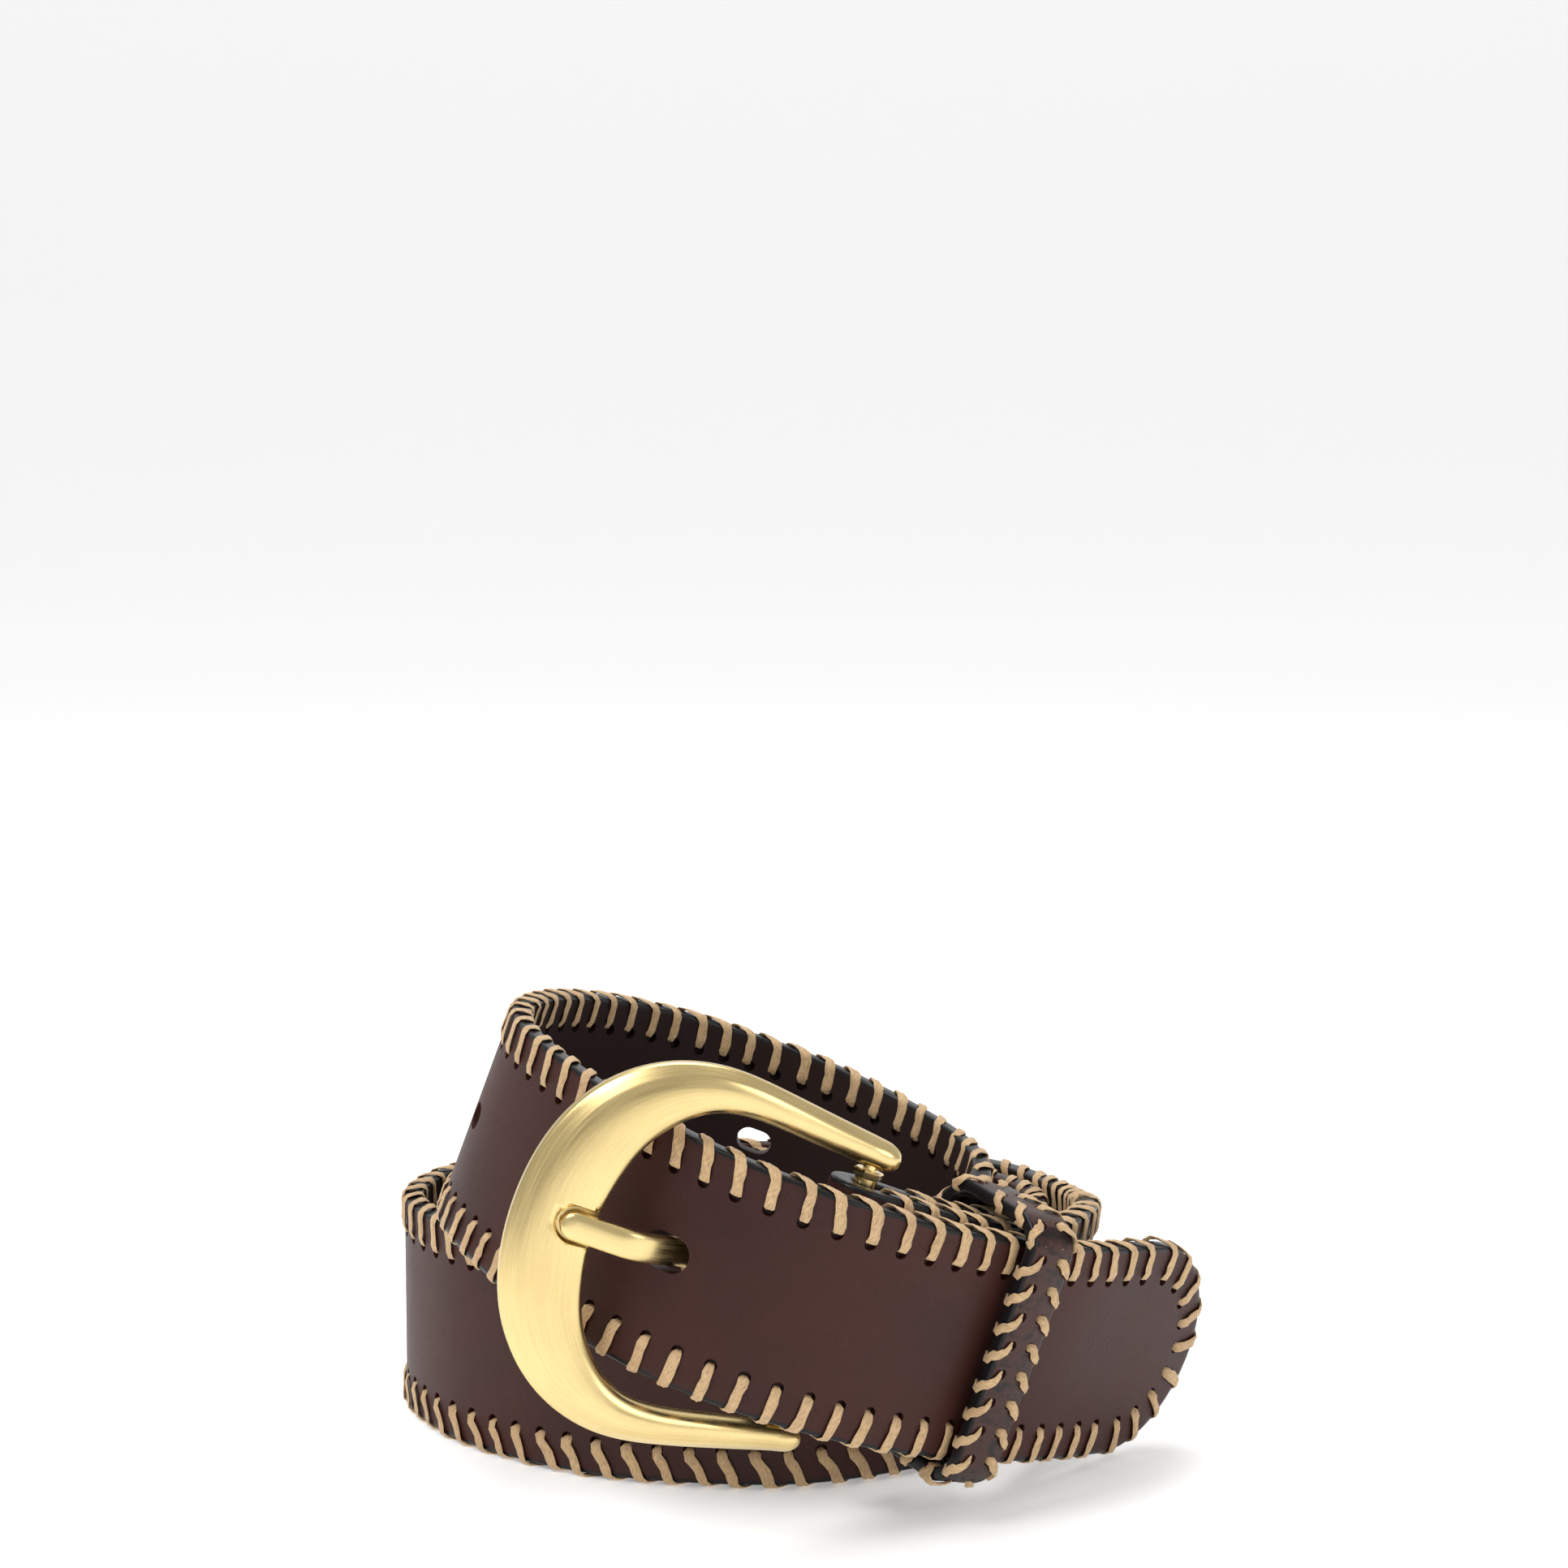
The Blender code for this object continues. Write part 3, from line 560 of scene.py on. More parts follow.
def fibre_group() -> bpy.types.NodeTree:
    """Twisted fibres that follow a thread's own length.

    Returns:
        The node group.
    """
    tree, g, source = new_group(
        "thread_fibres",
        {"Colour": (COLOUR, (0.6, 0.4, 0.2, 1)), "Dark colour": (COLOUR, (0.3, 0.18, 0.09, 1))},
        {"Colour": COLOUR, "Height": VALUE})
    uv = g.add("ShaderNodeUVMap", uv_map="thread")
    where = g.add("ShaderNodeTexCoord").outputs["Object"]
    sep = g.add("ShaderNodeSeparateXYZ", {0: uv.outputs[0]})
    skew = g.math("ADD", sep.outputs["Y"], g.math("MULTIPLY", sep.outputs["X"], 0.35))
    rolled = g.add("ShaderNodeCombineXYZ", {0: g.math("MULTIPLY", sep.outputs["X"], 0.16), 1: skew})
    mixed = g.add("ShaderNodeVectorMath", {0: rolled.outputs[0],
                                           1: g.add("ShaderNodeVectorMath", {0: where, 1: (9, 9, 9)},
                                                    operation="MULTIPLY").outputs[0]},
                  operation="ADD")
    fibres = g.add("ShaderNodeTexNoise", {"Vector": mixed.outputs[0], "Scale": 7.0, "Detail": 5.0,
                                          "Roughness": 0.65})
    strands = g.add("ShaderNodeTexNoise", {"Vector": mixed.outputs[0], "Scale": 2.4, "Detail": 1.0})
    patch = g.add("ShaderNodeTexNoise", {"Vector": where, "Scale": 160.0, "Detail": 2.0})
    tone = g.ramp(fibres.outputs["Fac"], (0.30, (0.45, 0.40, 0.34)), (0.5, (0.95, 0.93, 0.9)),
                  (0.72, (1.35, 1.3, 1.2)))
    base = g.blend(1.0, source.outputs["Colour"], tone, "MULTIPLY")
    base = g.blend(g.remap(patch.outputs["Fac"], 0.5, 0.8, 0.0, 0.55), base,
                   source.outputs["Dark colour"])
    height = g.math("ADD", fibres.outputs["Fac"], strands.outputs["Fac"])
    g.add("NodeGroupOutput", {"Colour": base, "Height": height})
    return tree


def brushed_group() -> bpy.types.NodeTree:
    """Fine straight scratches along one direction, with soft patches between.

    Returns:
        The node group.
    """
    tree, g, source = new_group(
        "brushed_metal",
        {"Colour": (COLOUR, (0.8, 0.62, 0.32, 1)), "Roughness": (VALUE, 0.3),
         "Strength": (VALUE, 1.0)},
        {"Colour": COLOUR, "Roughness": VALUE, "Height": VALUE})
    uv = g.add("ShaderNodeUVMap", uv_map="brush")
    long_ = g.add("ShaderNodeVectorMath", {0: uv.outputs[0], 1: (90.0, 3600.0, 3600.0)},
                  operation="MULTIPLY").outputs[0]
    wide = g.add("ShaderNodeVectorMath", {0: uv.outputs[0], 1: (60.0, 700.0, 700.0)},
                 operation="MULTIPLY").outputs[0]
    fine = g.add("ShaderNodeTexNoise", {"Vector": long_, "Scale": 1.0, "Detail": 3.0})
    broad = g.add("ShaderNodeTexNoise", {"Vector": wide, "Scale": 1.0, "Detail": 2.0})
    where = g.add("ShaderNodeTexCoord").outputs["Object"]
    cloud = g.add("ShaderNodeTexNoise", {"Vector": where, "Scale": 70.0, "Detail": 3.0})
    tone = g.ramp(fine.outputs["Fac"], (0.3, (0.9, 0.89, 0.86)), (0.7, (1.06, 1.06, 1.05)))
    tint = g.ramp(cloud.outputs["Fac"], (0.35, (0.96, 0.94, 0.9)), (0.65, (1.03, 1.02, 1.0)))
    base = g.blend(1.0, g.blend(1.0, source.outputs["Colour"], tone, "MULTIPLY"), tint, "MULTIPLY")
    vary = g.math("ADD", g.remap(fine.outputs["Fac"], 0.3, 0.7, -0.06, 0.08),
                  g.remap(broad.outputs["Fac"], 0.3, 0.7, -0.05, 0.06))
    rough = g.math("ADD", source.outputs["Roughness"],
                   g.math("MULTIPLY", vary, source.outputs["Strength"]), clamp=True)
    height = g.math("MULTIPLY", g.math("ADD", fine.outputs["Fac"], broad.outputs["Fac"]),
                    source.outputs["Strength"])
    g.add("NodeGroupOutput", {"Colour": base, "Roughness": rough, "Height": height})
    return tree


def new_material(name: str) -> tuple[bpy.types.Material, NodeGraph]:
    """An empty material and a graph on its tree.

    Args:
        name: Name of the material.

    Returns:
        The material and the graph.
    """
    mat = bpy.data.materials.new(name)
    mat.use_nodes = True
    return mat, NodeGraph(mat.node_tree)


@dataclass(frozen=True)
class LeatherFinish:
    """Smooth leather with a burnished edge and a darker inside face."""
    name: str
    face: tuple[float, float, float] = (0.040, 0.0112, 0.0076)
    inside: tuple[float, float, float] = (0.016, 0.0062, 0.0048)
    edge: tuple[float, float, float] = (0.0085, 0.0075, 0.0080)
    pores: tuple[float, float, float] = (0.010, 0.005, 0.0045)
    roughness: float = 0.47
    pore_size: float = 0.46 * MM

    def build(self, grain: bpy.types.NodeTree) -> bpy.types.Material:
        """Builds the material, which reads the rim and lining attributes.

        Args:
            grain: The leather grain group.

        Returns:
            The material.
        """
        mat, g = new_material(self.name)
        leather = g.add("ShaderNodeGroup", node_tree=grain)
        leather.inputs["Pore size"].default_value = self.pore_size
        leather.inputs["Colour"].default_value = (*self.face, 1)
        leather.inputs["Pore colour"].default_value = (*self.pores, 1)
        leather.inputs["Roughness"].default_value = self.roughness
        rim = g.add("ShaderNodeAttribute", attribute_name="rim").outputs["Fac"]
        lining = g.add("ShaderNodeAttribute", attribute_name="lining").outputs["Fac"]
        where = g.add("ShaderNodeTexCoord").outputs["Object"]
        ragged = g.add("ShaderNodeTexNoise", {"Vector": where, "Scale": 700.0, "Detail": 3.0})
        rim = g.remap(g.math("ADD", rim, g.remap(ragged.outputs["Fac"], 0.3, 0.7, -0.16, 0.16)),
                      0.40, 0.62)
        colour = g.blend(lining, leather.outputs["Colour"], self.inside)
        colour = g.blend(rim, colour, self.edge)
        rough = g.math("ADD", leather.outputs["Roughness"], g.math("MULTIPLY", lining, 0.12))
        rough = g.add("ShaderNodeMix", {0: rim, 2: rough, 3: 0.30}).outputs[0]
        height = g.math("MULTIPLY", leather.outputs["Height"],
                        g.remap(rim, 0.0, 1.0, 1.0, 0.12))
        bump = g.add("ShaderNodeBump", {"Strength": 0.55, "Distance": 0.05 * MM, "Height": height})
        shader = g.add("ShaderNodeBsdfPrincipled",
                       {"Base Color": colour, "Roughness": rough, "Normal": bump.outputs[0],
                        "Specular IOR Level": 0.23})
        g.add("ShaderNodeOutputMaterial", {0: shader.outputs[0]})
        return mat


@dataclass(frozen=True)
class RawFinish:
    """The raw, undyed wall of a punched hole."""
    name: str
    colour: tuple[float, float, float] = (0.36, 0.15, 0.06)

    def build(self) -> bpy.types.Material:
        """Builds the material.

        Returns:
            The material.
        """
        mat, g = new_material(self.name)
        where = g.add("ShaderNodeTexCoord").outputs["Object"]
        noise = g.add("ShaderNodeTexNoise", {"Vector": where, "Scale": 1800.0, "Detail": 4.0})
        dark = tuple(c * 0.45 for c in self.colour)
        colour = g.ramp(noise.outputs["Fac"], (0.3, dark), (0.65, self.colour))
        bump = g.add("ShaderNodeBump", {"Strength": 0.6, "Distance": 0.06 * MM,
                                        "Height": noise.outputs["Fac"]})
        rough = g.remap(noise.outputs["Fac"], 0.3, 0.7, 0.65, 0.85)
        shader = g.add("ShaderNodeBsdfPrincipled",
                       {"Base Color": colour, "Roughness": rough, "Normal": bump.outputs[0]})
        g.add("ShaderNodeOutputMaterial", {0: shader.outputs[0]})
        return mat


@dataclass(frozen=True)
class ThreadFinish:
    """Flat waxed thread of natural fibre."""
    name: str
    colour: tuple[float, float, float] = (0.58, 0.40, 0.22)
    dark: tuple[float, float, float] = (0.34, 0.19, 0.09)
    roughness: float = 0.62

    def build(self, fibres: bpy.types.NodeTree) -> bpy.types.Material:
        """Builds the material.

        Args:
            fibres: The thread fibre group.

        Returns:
            The material.
        """
        mat, g = new_material(self.name)
        thread = g.add("ShaderNodeGroup", node_tree=fibres)
        thread.inputs["Colour"].default_value = (*self.colour, 1)
        thread.inputs["Dark colour"].default_value = (*self.dark, 1)
        bump = g.add("ShaderNodeBump", {"Strength": 0.8, "Distance": 0.12 * MM,
                                        "Height": thread.outputs["Height"]})
        shader = g.add("ShaderNodeBsdfPrincipled",
                       {"Base Color": thread.outputs["Colour"], "Roughness": self.roughness,
                        "Normal": bump.outputs[0], "Sheen Weight": 0.15,
                        "Sheen Roughness": 0.4, "Specular IOR Level": 0.4})
        g.add("ShaderNodeOutputMaterial", {0: shader.outputs[0]})
        return mat


@dataclass(frozen=True)
class BrassFinish:
    """Brass, brushed or polished."""
    name: str
    colour: tuple[float, float, float] = (0.74, 0.585, 0.285)
    roughness: float = 0.27
    brushing: float = 0.8
    relief: float = 0.010 * MM

    def build(self, brushed: bpy.types.NodeTree) -> bpy.types.Material:
        """Builds the material.

        Args:
            brushed: The brushed metal group.

        Returns:
            The material.
        """
        mat, g = new_material(self.name)
        metal = g.add("ShaderNodeGroup", node_tree=brushed)
        metal.inputs["Colour"].default_value = (*self.colour, 1)
        metal.inputs["Roughness"].default_value = self.roughness
        metal.inputs["Strength"].default_value = self.brushing
        bump = g.add("ShaderNodeBump", {"Strength": 0.5, "Distance": self.relief,
                                        "Height": metal.outputs["Height"]})
        shader = g.add("ShaderNodeBsdfPrincipled",
                       {"Base Color": metal.outputs["Colour"], "Metallic": 1.0,
                        "Roughness": metal.outputs["Roughness"], "Normal": bump.outputs[0]})
        g.add("ShaderNodeOutputMaterial", {0: shader.outputs[0]})
        return mat


class Palette:
    """All the belt's materials, built once."""

    def __init__(self) -> None:
        """Builds the shared groups and every finish."""
        grain, fibres, brushed = grain_group(), fibre_group(), brushed_group()
        self.leather = LeatherFinish("strap_leather").build(grain)
        self.keeper = LeatherFinish("keeper_leather", face=(0.052, 0.022, 0.0175),
                                    roughness=0.40).build(grain)
        self.raw = RawFinish("raw_leather").build()
        self.belt_hole = RawFinish("belt_hole_wall", (0.52, 0.24, 0.08)).build()
        self.thread = ThreadFinish("waxed_thread").build(fibres)
        self.brass = BrassFinish("brushed_brass").build(brushed)
        self.polished = BrassFinish("polished_brass", (0.80, 0.63, 0.31), 0.17, 0.35).build(brushed)
        self.frayed = ThreadFinish("frayed_ends", (0.50, 0.42, 0.34), (0.3, 0.25, 0.2)).build(fibres)


# ------------------------------------------------------------- geometry nodes
class Repeat(Enum):
    """What is set out on the points."""
    STITCH = "stitches"
    HOLE = "holes"


class PointCloud:
    """Places for repeated pieces: where, how turned, which variant, how big."""

    def __init__(self) -> None:
        """Starts with no points."""
        self.places: list[Points] = []
        self.turns: list[tuple[float, float, float]] = []
        self.variants: list[int] = []
        self.sizes: list[tuple[float, float, float]] = []

    def add(self, place: Points, x: Points, y: Points, z: Points, variant: int = 0,
            size: tuple[float, float, float] = (1, 1, 1)) -> None:
        """Adds a point whose piece has its axes along x, y and z.

        Args:
            place: Where the piece goes.
            x: Direction of the piece's own x.
            y: Direction of its y.
            z: Direction of its z.
            variant: Which shape it is.
            size: Scale along x, y and z.
        """
        self.places.append(place)
        turn = Matrix([[*row] for row in np.stack([x, y, z], axis=1)]).to_euler()
        self.turns.append(tuple(turn))
        self.variants.append(variant)
        self.sizes.append(size)

    def object(self, name: str) -> bpy.types.Object:
        """The points as a mesh of loose vertices with their attributes.

        Args:
            name: Name of the object.

        Returns:
            The object.
        """
        mesh = bpy.data.meshes.new(name)
        mesh.from_pydata([tuple(p) for p in self.places], [], [])
        for key, kind, values in (("turn", "FLOAT_VECTOR", self.turns),
                                  ("size", "FLOAT_VECTOR", self.sizes),
                                  ("variant", "INT", self.variants)):
            attribute = mesh.attributes.new(key, kind, "POINT")
            flat = np.asarray(values).ravel()
            attribute.data.foreach_set("value" if kind == "INT" else "vector", flat)
        ob = bpy.data.objects.new(name, mesh)
        bpy.context.scene.collection.objects.link(ob)
        return ob


def repeat_tree(kind: Repeat) -> bpy.types.NodeTree:
    """The tree that sets out stitches or hole cutters on points.

    Args:
        kind: Stitches come from a collection, hole cutters are cylinders.

    Returns:
        The geometry node tree.
    """
    tree = bpy.data.node_groups.new(kind.value, "GeometryNodeTree")
    face = tree.interface
    face.new_socket("Geometry", in_out="INPUT", socket_type="NodeSocketGeometry")
    face.new_socket("Material", in_out="INPUT", socket_type="NodeSocketMaterial")
    if kind is Repeat.STITCH:
        face.new_socket("Stitches", in_out="INPUT", socket_type="NodeSocketCollection")
    else:
        for key, value in (("Radius", 1.1 * MM), ("Depth", 6 * MM)):
            face.new_socket(key, in_out="INPUT", socket_type=VALUE).default_value = value
        sides = face.new_socket("Sides", in_out="INPUT", socket_type="NodeSocketInt")
        sides.default_value = 14
    face.new_socket("Geometry", in_out="OUTPUT", socket_type="NodeSocketGeometry")
    g = NodeGraph(tree)
    source = g.add("NodeGroupInput")

    def named(key: str, data_type: str) -> bpy.types.NodeSocket:
        """A named attribute's output."""
        return g.add("GeometryNodeInputNamedAttribute", {"Name": key},
                     data_type=data_type).outputs[0]

    turn = g.add("FunctionNodeEulerToRotation", {0: named("turn", "FLOAT_VECTOR")}).outputs[0]
    place = {"Points": source.outputs["Geometry"], "Rotation": turn,
             "Scale": named("size", "FLOAT_VECTOR")}
    if kind is Repeat.STITCH:
        shapes = g.add("GeometryNodeCollectionInfo",
                       {"Collection": source.outputs["Stitches"], "Separate Children": True,
                        "Reset Children": True})
        place |= {"Instance": shapes.outputs[0], "Pick Instance": True,
                  "Instance Index": named("variant", "INT")}
    else:
        pin = g.add("GeometryNodeMeshCylinder",
                    {"Vertices": source.outputs["Sides"], "Radius": source.outputs["Radius"],
                     "Depth": source.outputs["Depth"]})
        place |= {"Instance": pin.outputs[0]}
    laid = g.add("GeometryNodeInstanceOnPoints", place)
    real = g.add("GeometryNodeRealizeInstances", {0: laid.outputs[0]})
    dressed = g.add("GeometryNodeSetMaterial",
                    {"Geometry": real.outputs[0], "Material": source.outputs["Material"]})
    g.add("NodeGroupOutput", {0: dressed.outputs[0]})
    return tree


def run_tree(ob: bpy.types.Object, tree: bpy.types.NodeTree, **values) -> bpy.types.Object:
    """Runs a tree on an object and keeps the result as a plain mesh.

    Args:
        ob: Object with the tree's points.
        tree: The geometry node tree.
        **values: Values of the tree's named inputs.

    Returns:
        The same object.
    """
    mod = ob.modifiers.new(tree.name, "NODES")
    mod.node_group = tree
    for item in tree.interface.items_tree:
        if item.in_out == "INPUT" and item.name in values:
            mod[item.identifier] = values[item.name]
    settle(ob)
    return ob


# --------------------------------------------------------------------- thread
@dataclass
class ThreadShapes:
    """Variants of one whip stitch over an edge.

    The shape's own frame has its origin at the punched hole on the outer face,
    +Y towards the edge, +Z out of the leather, and X along the edge.
    """
    reach: float
    thick: float
    slant: float
    width: float = 0.98 * MM
    height: float = 0.27 * MM
    lift: float = 0.40 * MM
    variants: int = 7
    back: bool = True
    face_lean: float = 0.12

    RINGS = 17
    SECTION = ((1.0, 0.0), (0.62, 0.9), (0.08, 0.7), (-0.58, 1.0), (-1.0, 0.0), (-0.5, -0.9),
               (0.5, -0.9))

    def route(self, rng: random.Random) -> Points:
        """Points that the thread follows: out of the hole, over the edge, down the back.

        Args:
            rng: Where its small differences come from.

        Returns:
            One row per point.
        """
        r, t, k, up = self.reach, self.thick, self.slant, self.lift
        lean = self.face_lean + rng.uniform(-0.07, 0.07)
        wob = [rng.uniform(-0.12, 0.12) * MM for _ in range(6)]
        rows = [(0, 0, -1.1 * MM), (0, 0.12 * MM, -0.1 * MM), (wob[0], 0.8 * MM, up * 0.85),
                (k * lean * 0.5 + wob[1], r * 0.42, up * 1.05),
                (k * lean + wob[2], r * 0.75, up),
                (k * (lean + 0.10), r - 0.15 * MM, up * 0.55),
                (k * (lean + 0.22), r + 0.36 * MM, -0.62 * MM),
                (k * (lean + 0.42), r + 0.40 * MM, -t / 2),
                (k * (lean + 0.60), r + 0.36 * MM, 0.62 * MM - t)]
        if self.back:
            rows += [(k * 0.84, r - 0.15 * MM, -t - up * 0.55),
                     (k * 0.95 + wob[3], r * 0.70, -t - up),
                     (k + wob[4], r * 0.36, -t - up * 1.02), (k, 0.75 * MM, -t - up * 0.8),
                     (k, 0.10 * MM, -t + 0.2 * MM), (k, 0, -t + 1.2 * MM)]
        else:
            rows += [(k * 0.80, r - 0.2 * MM, -t - 0.16 * MM), (k * 0.9, r - 1.3 * MM, -t - 0.10 * MM)]
        return np.array(rows)

    def shape(self, name: str, rng: random.Random) -> bpy.types.Object:
        """One stitch as a closed mesh with a UV map along its fibres.

        Args:
            name: Name of the object.
            rng: Where its small differences come from.

        Returns:
            The stitch.
        """
        rows = self.route(rng)
        knots = np.concatenate([[0], np.cumsum(np.linalg.norm(np.diff(rows, axis=0), axis=1))])
        at = np.linspace(0, knots[-1], self.RINGS)
        line = spline(knots, rows, at)
        t = unit(np.gradient(line, axis=0))
        side = np.tile([1.0, 0.0, 0.0], (len(line), 1))
        side = unit(side - (side * t).sum(axis=1)[:, None] * t)
        up = np.cross(side, t)
        verts = []
        for i, (p, a, b) in enumerate(zip(line, side, up)):
            w = self.width * (1 + rng.uniform(-0.10, 0.10)) * (0.72 if i in (0, len(line) - 1) else 1)
            h = self.height * (1 + rng.uniform(-0.15, 0.15))
            roll = rng.uniform(-0.10, 0.10)
            for x, z in self.SECTION:
                verts.append(p + a * w * x + b * (h * z + roll * w * x))
        sides = len(self.SECTION)
        ob = make_mesh(name, verts, tube_faces(len(line), sides), sharp=80)
        uv = ob.data.uv_layers.new(name="thread")
        offset = rng.uniform(0, 50)
        corners = ob.data.loops
        for poly in ob.data.polygons:
            columns = [corners[k].vertex_index % sides for k in poly.loop_indices]
            wraps = 0 in columns and sides - 1 in columns and len(columns) == 4
            for k, column in zip(poly.loop_indices, columns):
                ring = corners[k].vertex_index // sides
                across = sides if wraps and column == 0 else column
                uv.data[k].uv = (at[ring] / MM + offset, across * 0.55 + offset)
        return ob

    def collection(self, name: str, seed: int) -> bpy.types.Collection:
        """All the variants, in a collection that isn't part of the scene.

        Args:
            name: Name of the collection.
            seed: Seed of the differences.

        Returns:
            The collection.
        """
        rng = random.Random(seed)
        group = bpy.data.collections.new(name)
        for k in range(self.variants):
            ob = self.shape(f"{name}_{k:02d}", rng)
            bpy.context.scene.collection.objects.unlink(ob)
            group.objects.link(ob)
        return group


def clear_collection(group: bpy.types.Collection) -> None:
    """Removes a collection of shapes and its objects."""
    for ob in list(group.objects):
        bpy.data.objects.remove(ob, do_unlink=True)
    bpy.data.collections.remove(group)


# ---------------------------------------------------------------------- strap
@dataclass
class Strap:
    """The long strap: leather, holes and its whip stitches."""
    line: StrapLine
    palette: Palette
    bar: Points
    hole_from_edge: float = 6.1 * MM
    pitch: float = 5.7 * MM
    lace_hole: float = 1.12 * MM
    belt_holes: int = 7
    belt_hole_pitch: float = 30.5 * MM
    belt_hole_half: float = 2.3 * MM
    columns: int = 13
    step: float = 1.7 * MM
    fold_step: float = 0.55 * MM
    edge_round: float = 0.55 * MM
    turn_over: float = 330 * MM
    body: str = "strap"

    def __post_init__(self) -> None:
        """Finds the fold round the heel bar."""
        gaps = np.linalg.norm(self.line.centre - self.bar, axis=1)
        close = self.line.s[gaps < gaps.min() * 1.06]
        self.fold_start, self.fold_end = float(close[0]), float(close[-1])
        self.end = float(self.line.s[-1])
        LOG.info("strap %.1f mm, fold at %.1f to %.1f mm", self.end / MM,
                 self.fold_start / MM, self.fold_end / MM)

    def point(self, s: float, x: float, side: float) -> Points:
        """A point on the outer (side 1) or inner (side -1) face."""
        c, _, b, n = self.line.at(s)
        return c + x * b + side * self.line.thick / 2 * n

    def leather(self) -> bpy.types.Object:
        """The whole strap, its edges rounded.

        Returns:
            The strap, before its holes.
        """
        line = self.line
        runs = [np.arange(line.tip, self.fold_start - 4 * MM, self.step),
                np.arange(self.fold_start - 4 * MM, self.fold_end + 4 * MM, self.fold_step),
                np.arange(self.fold_end + 4 * MM, self.end - self.step / 2, self.step), [self.end]]
        stations = np.concatenate(runs)
        k = self.columns
        offsets = [x / k * line.half for x in range(-k, k + 1)]
        plan = [(s, x) for s in stations for x in offsets]
        faces = []
        row = len(offsets)
        for i in range(len(stations) - 1):
            faces += [(i * row + j, i * row + j + 1, (i + 1) * row + j + 1, (i + 1) * row + j)
                      for j in range(row - 1)]
        rays = 28                                  # the rounded tip, as rays from its middle
        fan = [[j for j in range(k, -1, -1)]]
        for r in range(1, rays):
            angle = -math.pi / 2 + math.pi * r / rays
            s1, x1, _, _ = line.outline(angle)
            fan.append([k] + [len(plan) + j for j in range(k)])
            plan += [(line.tip + (s1 - line.tip) * f, x1 * f)
                     for f in [(j + 1) / k for j in range(k)]]
        fan.append([k + j for j in range(k + 1)])
        for a, b in zip(fan, fan[1:]):
            faces.append((a[0], a[1], b[1]))
            faces += [(a[j], a[j + 1], b[j + 1], b[j]) for j in range(1, k)]
        border: dict[tuple[int, int], int] = {}
        for f in faces:
            for a, b in zip(f, f[1:] + f[:1]):
                border[(min(a, b), max(a, b))] = border.get((min(a, b), max(a, b)), 0) + 1
        n = len(plan)
        verts = [self.point(s, x, 1) for s, x in plan] + [self.point(s, x, -1) for s, x in plan]
        walls = [(a, b, b + n, a + n) for (a, b), count in border.items() if count == 1]
        faces = faces + [tuple(v + n for v in reversed(f)) for f in faces] + walls
        ob = make_mesh("strap_leather", verts, faces, self.palette.leather)
        bevel = ob.modifiers.new("rounding", "BEVEL")
        bevel.width, bevel.segments = self.edge_round, 3
        bevel.limit_method, bevel.angle_limit = "ANGLE", math.radians(50)
        bevel.use_clamp_overlap = False
        settle(ob)
        return ob

    def seams(self) -> dict[str, list[tuple[float, float, Points, Points, Points, Points]]]:
        """Where every lacing hole is: distance along, sign of the edge, place and axes.

        Returns:
            Name of each seam to its holes.
        """
        line, rows = self.line, {"upper": [], "lower": [], "flap_upper": [], "flap_lower": []}
        inset = self.hole_from_edge
        last = self.fold_start - 5.0 * MM
        count = int((last - line.tip) / self.pitch)
        straight = [last - k * self.pitch for k in range(count + 1)][::-1]
        for s in straight:
            c, t, b, n = line.at(s)
            for key, sign in (("upper", 1), ("lower", -1)):
                place = c + sign * (line.half - inset) * b + line.thick / 2 * n
                rows[key].append((s, sign, place, np.cross(sign * b, n), sign * b, n))
        around = 9
        for k in range(around):
            angle = math.pi * ((k + 0.5) / around - 0.5)
            s, x, ds, dx = line.outline(angle, inset)
            c, t, b, n = line.at(max(s, 0.0))
            out = unit(t * ds + b * dx)
            key = "upper" if k >= around // 2 else "lower"
            rows[key].append((s, dx, c + x * b + line.thick / 2 * n, np.cross(out, n), out, n))
        s = self.fold_end + 8.0 * MM
        while s < self.end - 2.5 * MM:
            c, t, b, n = line.at(s)
            for key, sign in (("flap_upper", 1), ("flap_lower", -1)):
                place = c + sign * (line.half - inset) * b + line.thick / 2 * n
                rows[key].append((s, sign, place, np.cross(sign * b, n), sign * b, n))
            s += self.pitch
        return rows

    def punch(self, ob: bpy.types.Object, rows: dict, cutters: bpy.types.NodeTree) -> None:
        """Punches the lacing holes, the belt holes and the prong's slot.

        Args:
            ob: The strap's leather.
            rows: The lacing holes of each seam.
            cutters: The tree that sets out hole cutters.
        """
        cloud = PointCloud()
        for places in rows.values():
            for _, _, place, x, y, z in places:
                for face in (0.0, self.line.thick):
                    cloud.add(place - z * face, x, y, z)
        pins = run_tree(cloud.object("lace_hole_cutter"), cutters, Material=self.palette.raw,
                        Radius=self.lace_hole, Depth=self.line.thick * 0.74, Sides=12)
        carve(ob, pins)
        tools = []
        used = self.used_hole()
        for k in range(self.belt_holes):
            s = used + k * self.belt_hole_pitch
            c, t, b, n = self.line.at(s)
            half = self.belt_hole_half + (0.8 * MM if k == 0 else 0.0)
            long_ = (4.5 if k == 0 else 3.5) * MM
            drop = self.hole_offset if k == 0 else 0.0
            tools.append(self.slot_cutter(c + drop * b, t, b, n, long_, half))
        c, t, b, n = self.line.at((self.fold_start + self.fold_end) / 2)
        tools.append(self.slot_cutter(self.bar, n, b, t, 8.0 * MM, 3.1 * MM, 8 * MM, 1.5 * MM))
        carve(ob, join("belt_hole_cutter", tools))

